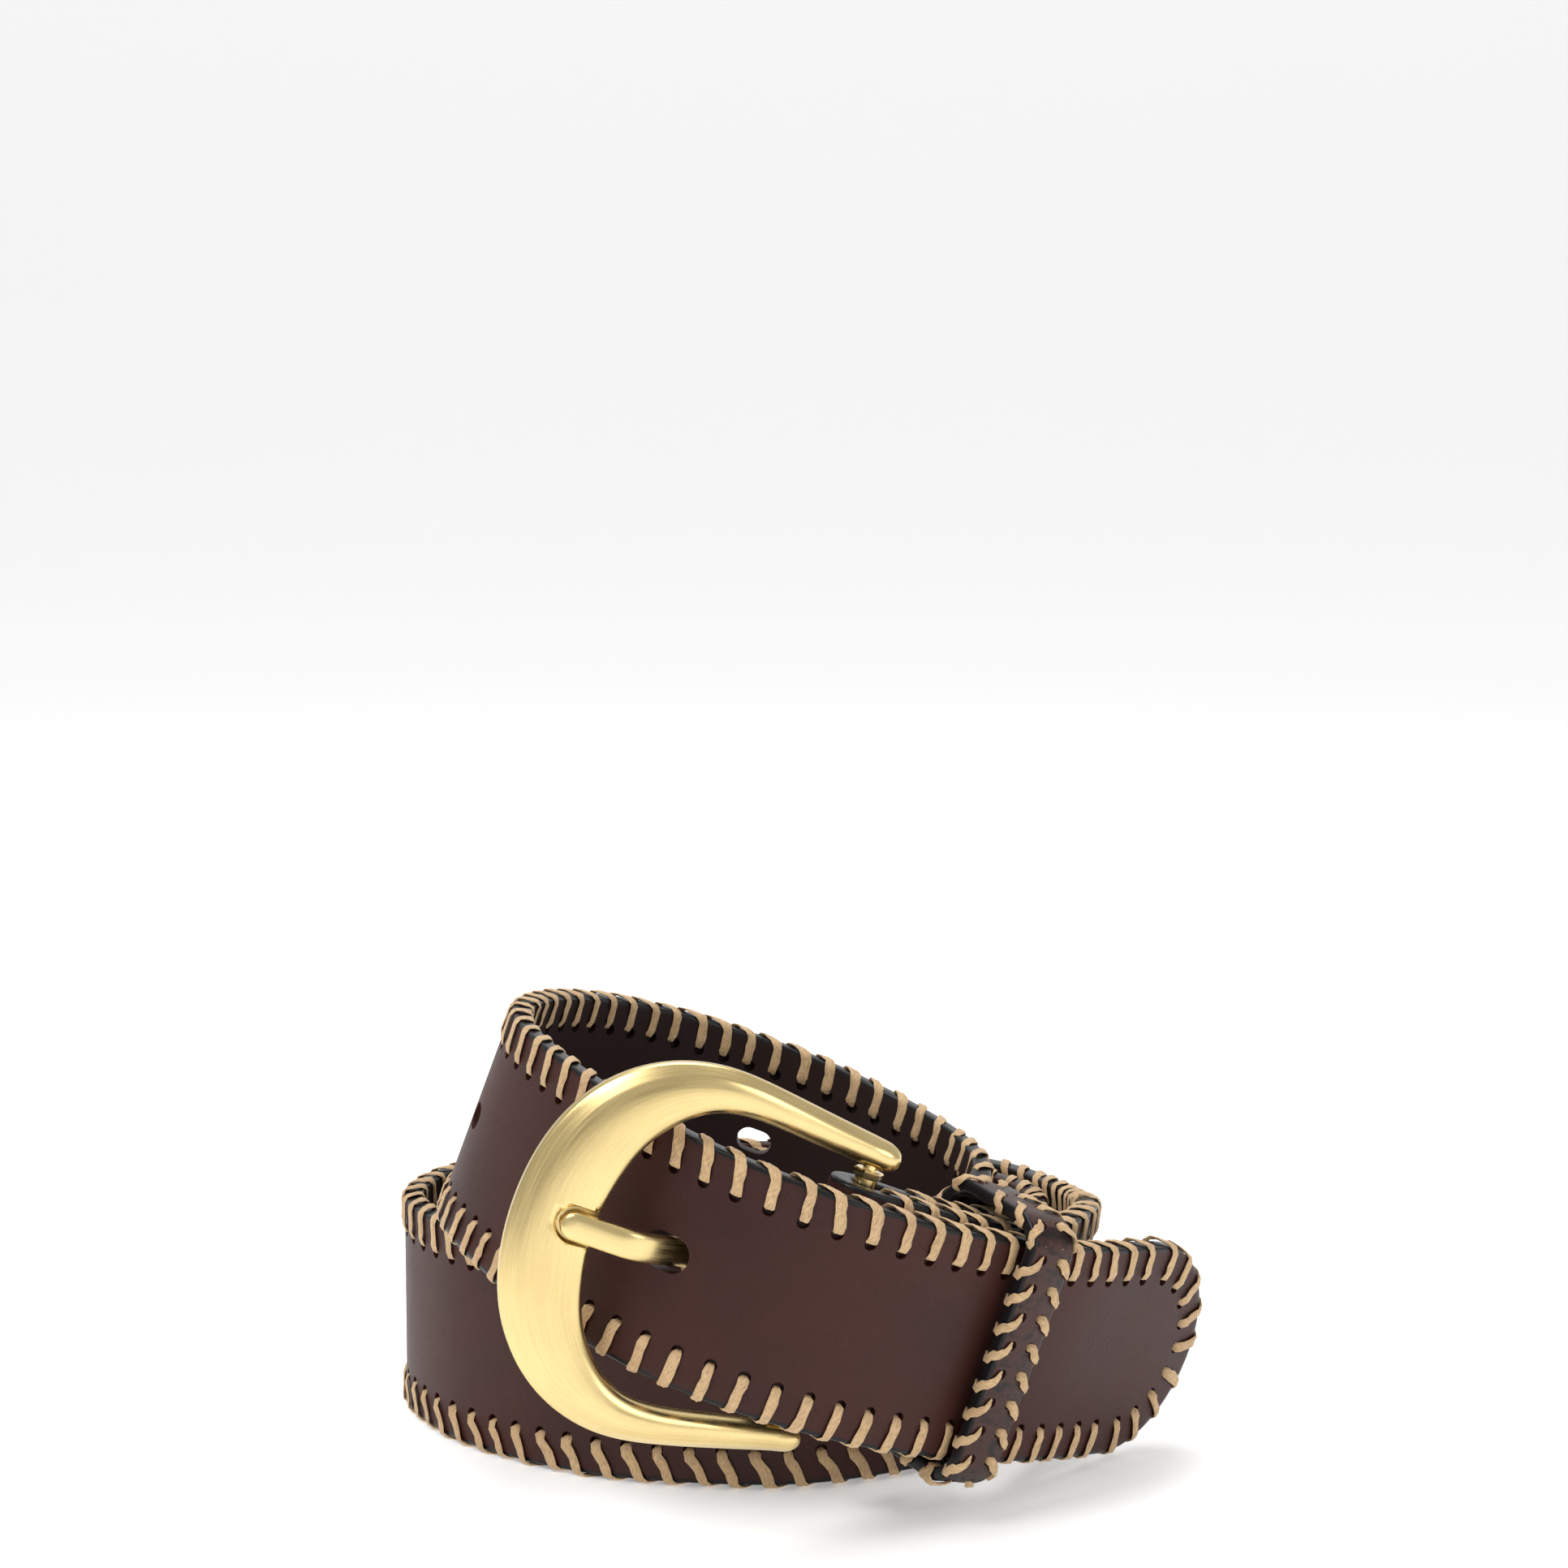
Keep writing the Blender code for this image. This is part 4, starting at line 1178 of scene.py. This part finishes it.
    def used_hole(self) -> float:
        """Distance from the tip to the hole that the prong is in, from the CAD prong.

        Returns:
            Distance from the tip.
        """
        prong = node_points("prong")
        best, self.hole_offset = None, 0.0
        for s in np.arange(0.105, 0.150, 0.0002):
            c, t, b, n = self.line.at(s)
            near = prong[np.abs((prong - c) @ n) < self.line.thick / 2 + 1.2 * MM]
            if not len(near):
                continue
            mid = (near.min(axis=0) + near.max(axis=0)) / 2 - c
            if best is None or abs(mid @ t) < best[0]:
                best = (abs(mid @ t), s)
                self.hole_offset = float(mid @ b)
        LOG.info("used hole %.1f mm from the tip, %.2f mm off centre", best[1] / MM,
                 self.hole_offset / MM)
        return best[1]

    def slot_cutter(self, c: Points, along: Points, across: Points, out: Points, half_long: float,
                    half_wide: float, deep: float = 3 * MM,
                    shift: float = 0.0) -> bpy.types.Object:
        """A round-ended cutter through the leather.

        Args:
            c: Middle of the hole.
            along: Direction of its length.
            across: Direction of its width.
            out: Direction it is cut in.
            half_long: Half its length.
            half_wide: Half its width.
            deep: How far it goes each way.
            shift: How far it is moved along its length.

        Returns:
            The cutter.
        """
        outline = [(x + shift, y) for x, y in round_ended(half_long, half_wide, 12)]
        verts = [c + x * along + y * across + z * out for z in (-deep, deep) for x, y in outline]
        return make_mesh("belt_hole", verts, tube_faces(2, len(outline)), self.palette.belt_hole)

    def paint(self, ob: bpy.types.Object) -> None:
        """Stores how near each point is to the rim, and whether it's on the inside face.

        Args:
            ob: The strap's leather.
        """
        mesh, line = ob.data, self.line
        tree = KDTree(len(line.s))
        for k, c in enumerate(line.centre):
            tree.insert(c, k)
        tree.balance()
        rim, lining = [], []
        reach = 1.6 * MM
        for v in mesh.vertices:
            p = np.array(v.co)
            _, best, _ = tree.find(v.co)
            c, t, b, n = line.at(line.s[best])
            x, h = float((p - c) @ b), float((p - c) @ n)
            gap = line.half - abs(x)
            s = line.s[best]
            if s < line.tip:
                across = min(1.0, abs(x) / line.half)
                gap = min(gap, (s - line.tip * (1 - math.sqrt(1 - across * across))))
            wall = 1.0 if abs(h) < line.thick / 2 - 0.2 * MM else 0.0
            rim.append(max(wall if gap < 2.5 * MM else 0.0, min(1.0, 0.5 + (0.85 * MM - gap) / reach)))
            lining.append(1.0 if h < 0 else 0.0)
        store(ob, rim=rim, lining=lining)

    def stitches(self, rows: dict, tree: bpy.types.NodeTree) -> None:
        """Lays the whip stitches and rides them on the strap.

        Args:
            rows: The lacing holes of each seam.
            tree: The tree that sets out stitches.
        """
        rng = random.Random(11)
        width = 0.86 * self.pitch
        shapes = bpy.data.collections.new("whip_stitches")
        for key, slant, lean, seed in (("a", -width, 0.12, 5), ("b", 0.5 * width, 0.02, 6),
                                       ("c", -width, 0.42, 7)):
            part = ThreadShapes(self.hole_from_edge, self.line.thick, slant, face_lean=lean)
            for ob in part.collection("stitch_" + key, seed).objects:
                shapes.objects.link(ob)
        stands_for = {"upper": "strap_lacing_upper", "lower": "strap_lacing_lower",
                      "flap_upper": "flap_lacing_upper", "flap_lower": "flap_lacing_lower"}
        for key, node in stands_for.items():
            cloud = PointCloud()
            for s, sign, place, x, y, z in rows[key]:
                yaw = rng.gauss(0, 0.035)
                x2, y2 = x * math.cos(yaw) + y * math.sin(yaw), y * math.cos(yaw) - x * math.sin(yaw)
                other = 0 if key != "lower" else 7 if s < self.turn_over else 14
                cloud.add(place, x2, y2, z, rng.randrange(7) + other,
                          (rng.uniform(0.88, 1.08), 1.0, 1.0))
            ob = run_tree(cloud.object("stitches_" + key), tree, Material=self.palette.thread,
                          Stitches=shapes)
            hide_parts(node)
            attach(ob, self.body)
            LOG.info("%s: %d stitches", ob.name, len(cloud.places))
        clear_collection(shapes)

    def build(self, stitch_tree: bpy.types.NodeTree, cutters: bpy.types.NodeTree) -> None:
        """Builds the strap and everything sewn to it.

        Args:
            stitch_tree: The tree that sets out stitches.
            cutters: The tree that sets out hole cutters.
        """
        rows = self.seams()
        ob = self.leather()
        self.punch(ob, rows, cutters)
        self.paint(ob)
        ob.data.shade_smooth()
        ob.data.set_sharp_from_angle(angle=math.radians(35))
        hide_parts("strap")
        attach(ob, self.body)
        LOG.info("strap leather: %d faces", len(ob.data.polygons))
        self.stitches(rows, stitch_tree)


# --------------------------------------------------------------------- keeper
@dataclass
class Keeper:
    """The leather loop that holds the strap's free end, with its own whip stitches."""
    palette: Palette
    corner: float = 5.2 * MM
    hole_column: float = 2.1 * MM
    lace_hole: float = 0.95 * MM
    pitch: float = 5.3 * MM
    section_round: float = 0.55 * MM
    body: str = "keeper"

    def __post_init__(self) -> None:
        """Reads the loop's axes and size from its CAD node."""
        points = node_points("keeper")
        self.middle, axes = principal_axes(points)
        self.up = axes[0] if axes[0][2] > 0 else -axes[0]
        side = axes[1]
        self.out = side if side[1] < 0 else -side
        self.along = np.cross(self.out, self.up)
        spans = np.abs((points - self.middle) @ np.stack([self.up, self.out, self.along]).T)
        self.tall, self.deep, self.wide = (float(v) for v in spans.max(axis=0))
        inner = spans[(spans[:, 0] < self.tall * 0.5) & (spans[:, 1] > self.deep * 0.5)]
        self.thick = float(self.deep - inner[:, 1].min()) if len(inner) else 2.4 * MM
        if not 1.5 * MM < self.thick < 3.5 * MM:
            self.thick = 2.4 * MM
        LOG.info("keeper %.1f by %.1f by %.1f, %.2f thick", 2 * self.tall / MM,
                 2 * self.deep / MM, 2 * self.wide / MM, self.thick / MM)

    def path(self, distance: float) -> tuple[Points, Points, Points]:
        """Place, tangent and outward normal on the loop's middle line.

        Args:
            distance: Way round the loop, from the middle of its front, going up.

        Returns:
            The place, the tangent and the outward normal.
        """
        a, b, r = self.tall - self.thick / 2, self.deep - self.thick / 2, self.corner
        front, side, arc = 2 * (a - r), 2 * (b - r), math.pi / 2 * r
        total = 2 * (front + side) + 4 * arc
        d = (distance + front / 2) % total
        turn = 0
        while True:
            length = front if turn % 2 == 0 else side
            if d <= length:
                x, y, angle = d - length / 2, (b if turn % 2 == 0 else a), 0.0
                break
            d -= length
            if d <= arc:
                angle = d / r
                x = length / 2 + r * math.sin(angle)
                y = (b if turn % 2 == 0 else a) - r * (1 - math.cos(angle))
                break
            d -= arc
            turn += 1
        ahead, outward = [(self.up, self.out), (-self.out, self.up), (-self.up, -self.out),
                          (self.out, -self.up)][turn]
        c = self.middle + x * ahead + y * outward
        t = math.cos(angle) * ahead - math.sin(angle) * outward
        n = math.sin(angle) * ahead + math.cos(angle) * outward
        return c, t, n

    def length(self) -> float:
        """Length of the loop's middle line."""
        a, b, r = self.tall - self.thick / 2, self.deep - self.thick / 2, self.corner
        return 4 * (a + b - 2 * r) + 2 * math.pi * r

    def leather(self) -> bpy.types.Object:
        """The closed band, its edges rounded.

        Returns:
            The band, before its holes.
        """
        count, total = 150, self.length()
        w, h, r = self.wide, self.thick / 2, self.section_round
        section = []
        for cx, ch, start in ((w - r, h - r, 0), (-w + r, h - r, 90), (-w + r, -h + r, 180),
                              (w - r, -h + r, 270)):
            for k in range(4):
                a = math.radians(start + 30 * k)
                section.append((cx + r * math.cos(a), ch + r * math.sin(a)))
        verts = []
        for k in range(count):
            c, _, n = self.path(total * k / count)
            verts += [c + x * self.along + z * n for x, z in section]
        return make_mesh("keeper_leather", verts, tube_faces(count, len(section), True),
                         self.palette.keeper)

    def paint(self, ob: bpy.types.Object) -> None:
        """Stores the rim and the inside face.

        Args:
            ob: The keeper's leather.
        """
        rim, lining = [], []
        for v in ob.data.vertices:
            p = np.array(v.co) - self.middle
            gap = self.wide - abs(float(p @ self.along))
            rim.append(min(1.0, max(0.0, 0.5 + (0.5 * MM - gap) / (1.2 * MM))))
            inside = (abs(p @ self.up) < self.tall - self.thick / 2
                      and abs(p @ self.out) < self.deep - self.thick / 2)
            lining.append(1.0 if inside else 0.0)
        store(ob, rim=rim, lining=lining)

    def build(self, stitch_tree: bpy.types.NodeTree, cutters: bpy.types.NodeTree) -> None:
        """Builds the loop, punches it and sews its two edges.

        Args:
            stitch_tree: The tree that sets out stitches.
            cutters: The tree that sets out hole cutters.
        """
        total = self.length()
        count = int(round(total / self.pitch))
        holes = PointCloud()
        sides = {1: PointCloud(), -1: PointCloud()}
        rng = random.Random(23)
        for k in range(count):
            c, t, n = self.path(total * (k + 0.5) / count)
            for sign, cloud in sides.items():
                out = sign * self.along
                x = np.cross(out, n)
                for face in (-0.5, 0.5):
                    holes.add(c + sign * self.hole_column * self.along + face * self.thick * n,
                              x, out, n)
                climbs = bool((x @ t > 0) == (n @ self.out > 0))
                cloud.add(c + sign * self.hole_column * self.along + self.thick / 2 * n, x, out, n,
                          rng.randrange(6) + (0 if climbs else 6))
        ob = self.leather()
        carve(ob, run_tree(holes.object("keeper_cutter"), cutters, Material=self.palette.raw,
                           Radius=self.lace_hole, Depth=self.thick * 0.74, Sides=12))
        self.paint(ob)
        ob.data.shade_smooth()
        ob.data.set_sharp_from_angle(angle=math.radians(35))
        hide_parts("keeper")
        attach(ob, self.body)
        LOG.info("keeper leather: %d faces", len(ob.data.polygons))
        reach = self.wide - self.hole_column
        shapes = bpy.data.collections.new("loop_stitches")
        for key, sense in (("a", -1), ("b", 1)):
            part = ThreadShapes(reach, self.thick, sense * 0.62 * self.pitch, width=0.80 * MM,
                                lift=0.36 * MM, variants=6, face_lean=0.5)
            for ob in part.collection("loop_stitch_" + key, 9).objects:
                shapes.objects.link(ob)
        lacings = self.lacing_nodes()
        for sign, cloud in sides.items():
            ob = run_tree(cloud.object("keeper_stitches_" + ("a" if sign > 0 else "b")), stitch_tree,
                          Material=self.palette.thread, Stitches=shapes)
            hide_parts(lacings[sign])
            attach(ob, self.body)
            LOG.info("%s: %d stitches", ob.name, len(cloud.places))
        clear_collection(shapes)

    def lacing_nodes(self) -> dict[int, str]:
        """Which CAD lacing node stands at which edge of the loop.

        Returns:
            Sign of the edge to the node's name.
        """
        lean = {}
        for node in ("keeper_lacing_left", "keeper_lacing_right"):
            lean[node] = float((node_points(node).mean(axis=0) - self.middle) @ self.along)
        high, low = max(lean, key=lean.get), min(lean, key=lean.get)
        return {1: high, -1: low}


# --------------------------------------------------------------------- buckle
@dataclass
class Buckle:
    """Horseshoe frame, heel bar, prong and the fixings, all in brass.

    Plan sizes are in the buckle's own frame: u runs from the heel bar to the wide
    side, w along the heel bar, and v out of the front.
    """
    palette: Palette
    reach: float = 41.8
    side: float = 13.8
    arm: float = 6.2
    back: float = 1.8
    dome: float = 2.7
    camber_rise: float = 3.5
    half_open: float = 25.4
    side_middle: float = 48.7
    hole_at: float = 29.1
    prong_width: float = 5.2
    prong_thick: float = 2.4
    prong_end: float = 48.0
    eye: float = 3.9
    rest: float = 4.08
    low: float = -0.4
    bar_radius: float = 2.0
    bar_half: float = 22.5
    spigot: float = 1.2
    spigot_length: float = 3.5
    collar: float = 2.75
    bore: float = 1.5
    bore_reach: float = 26.4
    eye_bore: float = 2.3
    notch_length: float = 21.4
    notch_width: float = 6.4
    notch_end: float = 48.6
    notch_drop: float = 1.65
    far_back: float = 0.28

    PLAN = ((-0.033, 1.0, 0.39, 0), (0.08, 1.03, 0.42, 0), (0.245, 1.075, 0.46, 0),
            (0.43, 1.125, 0.50, 0), (0.613, 1.12, 0.63, 0), (0.787, 0.97, 0.39, 1),
            (0.91, 0.71, 0.465, 1), (0.98, 0.355, 0.5, 1))
    SECTION = ((1.0, 0.02), (1.0, -0.7), (0.93, -0.93), (0.78, -1.0), (0.0, -1.0), (-0.78, -1.0),
               (-0.93, -0.93), (-1.0, -0.7), (-1.0, -0.02), (-0.975, 0.24), (-0.90, 0.49),
               (-0.77, 0.70), (-0.58, 0.86), (-0.34, 0.96), (-0.08, 1.0), (0.18, 0.98),
               (0.40, 0.90), (0.55, 0.79), (0.63, 0.69), (0.66, 0.64), (0.78, 0.43), (0.93, 0.17))

    def __post_init__(self) -> None:
        """Finds the buckle's axes from the heel bar and the frame."""
        self.bar, axes = principal_axes(node_points("heel_bar"))
        self.w = axes[0] if axes[0][2] > 0 else -axes[0]
        points = node_points("buckle_frame") - self.bar
        flat = points - np.outer(points @ self.w, self.w)
        size = np.linalg.norm(flat, axis=1)
        far = flat[size > size.max() - 0.05 * MM].mean(axis=0)
        v = unit(np.cross(self.w, far))
        v = v if v[1] < 0 else -v
        self.u = unit(far + self.far_back * MM * v)
        self.v = np.cross(self.w, self.u)
        self.v = self.v if self.v[1] < 0 else -self.v

    def place(self, u: float, v: float, w: float) -> Points:
        """A point of the buckle's own frame, sizes in millimetres."""
        return self.bar + (u * self.u + v * self.v + w * self.w) * MM

    def camber(self, u: float) -> float:
        """Rise of the frame at a distance from the heel bar."""
        return self.camber_rise * math.sin(math.pi * max(0.0, u) / (self.reach + self.side))

    def fall(self) -> float:
        """How much the wide side drops per millimetre away from the heel bar."""
        return (self.camber(self.side_middle + 1) - self.camber(self.side_middle - 1)) / 2

    def brush(self, ob: bpy.types.Object, lengths: Sequence[float], sides: int) -> None:
        """Gives a swept piece a UV map in metres, along and across its sweep.

        Args:
            ob: The swept piece.
            lengths: Place of each ring along the sweep.
            sides: Points in each ring.
        """
        uv = ob.data.uv_layers.new(name="brush")
        for loop, item in zip(ob.data.loops, uv.data):
            ring, column = divmod(loop.vertex_index, sides)
            item.uv = (lengths[ring], column / sides * 0.02)

    def frame(self) -> bpy.types.Object:
        """The horseshoe, with its domed front, inner bevel and blind notch.

        Returns:
            The frame.
        """
        rows = [(a * self.side_middle, b * self.half_open, h * (self.side if k else self.arm))
                for a, b, h, k in self.PLAN]
        rows = ([(u, -w, h) for u, w, h in rows] + [(self.side_middle, 0.0, 0.5 * self.side)]
                + [(u, w, h) for u, w, h in reversed(rows)])
        rows = np.array(rows)
        knots = np.concatenate([[0], np.cumsum(np.linalg.norm(np.diff(rows[:, :2], axis=0), axis=1))])
        at = np.linspace(0, knots[-1], 130)
        curve = spline(knots, rows, at)
        ahead = unit(np.gradient(curve[:, :2], axis=0))
        crown = (self.dome + self.back) / 2
        mid = (self.dome - self.back) / 2
        rings, lengths = [], []

        def ring(u: float, w: float, d: Points, half: float, shrink: float) -> list[Points]:
            """One section of the frame across its sweep.

            Args:
                u: Place along the prong.
                w: Place along the heel bar.
                d: The sweep's direction.
                half: Half the width of the metal.
                shrink: Scale of the section.

            Returns:
                The section's points.
            """
            out = []
            for x, z in self.SECTION:
                pu = u + d[1] * x * half * shrink
                out.append(self.place(pu, mid + crown * z * shrink + self.camber(pu),
                                      w - d[0] * x * half * shrink))
            return out

        caps = [math.radians(a) for a in (86, 74, 60, 45, 30, 15)]
        for a in caps:
            e = curve[0][:2] - ahead[0] * curve[0][2] * math.sin(a) * 1.2
            rings.append(ring(e[0], e[1], ahead[0], curve[0][2], math.cos(a) ** 0.8))
            lengths.append(0.0)
        for row, d, where in zip(curve, ahead, at):
            rings.append(ring(row[0], row[1], d, row[2], 1.0))
            lengths.append(where * MM)
        for a in reversed(caps):
            e = curve[-1][:2] + ahead[-1] * curve[-1][2] * math.sin(a) * 1.2
            rings.append(ring(e[0], e[1], ahead[-1], curve[-1][2], math.cos(a) ** 0.8))
            lengths.append(lengths[-1])
        sides = len(self.SECTION)
        ob = make_mesh("buckle_horseshoe", [p for r in rings for p in r],
                       tube_faces(len(rings), sides), self.palette.brass, 50)
        self.brush(ob, lengths, sides)
        fall = self.fall()
        along = unit(self.u + fall * self.v)
        out = np.cross(self.w, along)
        out = out if out @ self.v > 0 else -out
        middle = self.notch_end - self.notch_length / 2
        floor = self.rest - self.notch_drop + fall * (middle - self.side_middle)
        outline = round_ended(self.notch_length / 2, self.notch_width / 2, 16)
        base = self.place(middle, floor, 0)
        verts = []
        for grow, height in ((0.90, 0.0), (1.0, 0.35), (1.0, 1.9), (1.16, 2.6), (1.3, 9.0)):
            verts += [base + (x * along + y * grow * self.w + height * out) * MM
                      for x, y in outline]
        cutter = make_mesh("notch", verts, tube_faces(5, len(outline)), self.palette.brass)
        cutter.data.uv_layers.new(name="brush")
        carve(ob, cutter)
        reach = self.bore_reach
        carve(ob, self.lathe("bore", [(-reach, self.bore), (reach, self.bore)], 24))
        return ob

    def lathe(self, name: str, profile: Sequence[tuple[float, float]], count: int,
              hexes: Sequence[bool] = ()) -> bpy.types.Object:
        """A turned piece on the heel bar's axis.

        Args:
            name: Name of the piece.
            profile: Place along the axis and radius of each ring, in millimetres.
            count: Sides of each ring.
            hexes: Which rings have six flats.

        Returns:
            The piece.
        """
        verts, lengths = [], []
        for k, (w, radius) in enumerate(profile):
            for j in range(count):
                a = 2 * math.pi * j / count
                flat = math.cos(math.pi / 6) / math.cos((a % (math.pi / 3)) - math.pi / 6)
                r = radius * (flat if hexes and hexes[k] else 1.0)
                verts.append(self.place(r * math.cos(a), r * math.sin(a), w))
            lengths.append(w * MM)
        ob = make_mesh(name, verts, tube_faces(len(profile), count), self.palette.polished, 32)
        self.brush(ob, lengths, count)
        return ob

    def heel_bar(self) -> bpy.types.Object:
        """The bar, with a flared six-sided collar by each arm.

        Returns:
            The heel bar.
        """
        half, end = self.bar_half, self.bar_half + self.spigot_length
        rows = [(end, self.spigot - 0.2, False), (end - 0.2, self.spigot, False),
                (half + 0.01, self.spigot, False), (half, self.collar - 0.25, True),
                (half - 0.25, self.collar, True), (half - 0.9, self.collar - 0.15, True),
                (half - 1.35, self.collar - 0.3, True), (half - 1.45, self.bar_radius, False)]
        rows += [(-w, radius, six) for w, radius, six in reversed(rows)]
        return self.lathe("buckle_heel_bar", [r[:2] for r in rows], 36, [r[2] for r in rows])

    def prong_middle(self, x: float) -> float:
        """Height of the prong's middle over the heel bar's centre.

        Args:
            x: Distance from the heel bar.

        Returns:
            The height.
        """
        f = min(1.0, max(0.0, (x - (self.hole_at - 5.7)) / 14.0))
        f = f * f * (3 - 2 * f)
        return self.low + (self.rest + self.fall() * (x - self.side_middle) - self.low) * f

    def prong(self) -> bpy.types.Object:
        """The prong: an eye round the bar, a bend through the hole, a rounded end.

        Returns:
            The prong.
        """
        xs = [-self.eye * math.cos(math.pi / 2 * k / 9) for k in range(1, 10)]
        xs += [0.5 * k for k in range(1, 13)] + list(np.arange(7, self.prong_end - 3, 1.0))
        xs += [self.prong_end - 3 * math.cos(math.pi / 2 * k / 9) for k in range(9)]
        xs.append(self.prong_end - 0.02)
        verts, lengths, sides = [], [], 24
        for x in xs:
            m = self.prong_middle(x)
            slope = (self.prong_middle(x + 0.2) - self.prong_middle(x - 0.2)) / 0.4
            t = self.prong_thick / 2 * math.sqrt(1 + slope * slope)
            hi, lo = m + t, m - t
            if x < self.eye:
                r = math.sqrt(max(0.02, self.eye ** 2 - x * x))
                hi, lo = (max(hi, r), min(lo, -r)) if x > 0 else (r, -r)
            wide = self.prong_width / 2 * (1.0 - 0.08 * max(0.0, x) / self.prong_end)
            left = self.prong_end - x
            if left < 2.6:
                f = math.sqrt(max(0.01, 1 - ((2.6 - left) / 2.6) ** 2))
                wide *= f
                mid, half = (hi + lo) / 2, (hi - lo) / 2
                hi, lo = mid + half * (0.35 + 0.65 * f) - 0.2 * (1 - f), lo
            centre, half = (hi + lo) / 2, (hi - lo) / 2
            for j in range(sides):
                a = 2 * math.pi * j / sides
                power = 0.42 if math.sin(a) < 0 else 0.62
                cw = math.copysign(abs(math.cos(a)) ** power, math.cos(a))
                sv = math.copysign(abs(math.sin(a)) ** 0.62, math.sin(a))
                verts.append(self.place(x, centre + half * sv, wide * cw))
            lengths.append(x * MM)
        ob = make_mesh("buckle_prong", verts, tube_faces(len(xs), sides), self.palette.brass, 50)
        self.brush(ob, lengths, sides)
        carve(ob, self.lathe("eye_bore", [(-4.0, self.eye_bore), (4.0, self.eye_bore)], 28))
        return ob

    def build(self) -> None:
        """Builds the buckle and dresses the fixings that stay as they are."""
        for ob, node, body in ((self.frame(), "buckle_frame", "buckle"),
                               (self.heel_bar(), "heel_bar", "buckle"),
                               (self.prong(), "prong", "prong")):
            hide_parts(node)
            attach(ob, body)
            LOG.info("%s: %d faces", ob.name, len(ob.data.polygons))
        for node in ("screw_post_a", "screw_post_b", "screw_a", "screw_b"):
            piece = bpy.data.objects[node]
            for slot in piece.material_slots:
                slot.link = "OBJECT"
                slot.material = self.palette.polished
            LOG.info("%s: polished", node)


# ----------------------------------------------------------------- studio
@dataclass
class Studio:
    """Pale floor, soft light and the camera."""
    lens: float = 73.6
    camera_place: tuple[float, float, float] = (-0.00166, -0.58118, 0.1851)
    pitch_down: float = 6.18
    sky: float = 0.54
    paper: float = 0.93
    paper_glow: float = 0.3

    def floor(self) -> None:
        """A large pale sheet that curves up far behind the object."""
        rows, half = [], 4.0
        for k in range(13):
            a = math.pi / 2 * k / 12
            rows.append((2.5 + 1.2 * math.sin(a), 1.2 - 1.2 * math.cos(a)))
        rows = [(-4.0, 0.0)] + rows + [(3.7, 4.5)]
        verts = [(x, y, z) for y, z in rows for x in (-half, half)]
        faces = [(2 * k, 2 * k + 1, 2 * k + 3, 2 * k + 2) for k in range(len(rows) - 1)]
        mesh = bpy.data.meshes.new("studio_floor")
        mesh.from_pydata(verts, [], faces)
        mesh.shade_smooth()
        ob = bpy.data.objects.new("studio_floor", mesh)
        bpy.context.scene.collection.objects.link(ob)
        mat = bpy.data.materials.new("studio_paper")
        mat.use_nodes = True
        shader = mat.node_tree.nodes["Principled BSDF"]
        shader.inputs["Base Color"].default_value = (self.paper,) * 3 + (1,)
        shader.inputs["Roughness"].default_value = 0.7
        shader.inputs["Emission Color"].default_value = (1, 1, 1, 1)
        shader.inputs["Emission Strength"].default_value = self.paper_glow
        mesh.materials.append(mat)

    def light(self, name: str, place: tuple, aim: tuple, size: tuple, power: float) -> None:
        """An area light that points at a place.

        Args:
            name: Name of the light.
            place: Where it is.
            aim: Where it points.
            size: Width and height.
            power: Power in watts.
        """
        data = bpy.data.lights.new(name, "AREA")
        data.shape, data.size, data.size_y, data.energy = "RECTANGLE", size[0], size[1], power
        ob = bpy.data.objects.new(name, data)
        bpy.context.scene.collection.objects.link(ob)
        ob.location = place
        ob.rotation_euler = (Vector(aim) - Vector(place)).to_track_quat("-Z", "Y").to_euler()

    def build(self) -> None:
        """Makes the floor, the lights, the world and the camera."""
        self.floor()
        world = bpy.data.worlds.new("studio_world")
        bpy.context.scene.world = world
        world.use_nodes = True
        shade = world.node_tree.nodes["Background"]
        shade.inputs[0].default_value = (1, 1, 1, 1)
        shade.inputs[1].default_value = self.sky
        bpy.context.scene.view_settings.view_transform = "Standard"
        self.light("key", (-0.55, -0.45, 0.85), (0, 0, 0.03), (0.45, 0.45), 5.0)
        self.light("fill", (0.8, -0.7, 0.45), (0, 0, 0.03), (0.5, 0.5), 2.2)
        self.light("top", (0.0, 0.25, 1.1), (0, 0, 0.0), (0.7, 0.7), 6.5)
        data = bpy.data.cameras.new("camera")
        data.lens, data.sensor_width = self.lens, 36.0
        data.clip_start, data.clip_end = 0.01, 50.0
        camera = bpy.data.objects.new("camera", data)
        camera.location = self.camera_place
        camera.rotation_euler = (math.radians(90 - self.pitch_down), 0, 0)
        bpy.context.scene.collection.objects.link(camera)
        bpy.context.scene.camera = camera


def clear_scene() -> None:
    """Removes whatever the scene starts with."""
    for ob in list(bpy.data.objects):
        bpy.data.objects.remove(ob, do_unlink=True)


def main() -> None:
    """Builds the belt around its frame."""
    logging.basicConfig(level=logging.INFO, format="%(name)s: %(message)s")
    clear_scene()
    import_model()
    palette = Palette()
    stitch_tree, hole_tree = repeat_tree(Repeat.STITCH), repeat_tree(Repeat.HOLE)
    line = StrapLine.from_node("strap")
    LOG.info("strap %.1f wide, %.2f thick, tip %.1f", 2 * line.half / MM, line.thick / MM,
             line.tip / MM)
    bar, _ = principal_axes(node_points("heel_bar"))
    Strap(line, palette, bar).build(stitch_tree, hole_tree)
    Keeper(palette).build(stitch_tree, hole_tree)
    Buckle(palette).build()
    Studio().build()


if __name__ == "__main__":
    main()
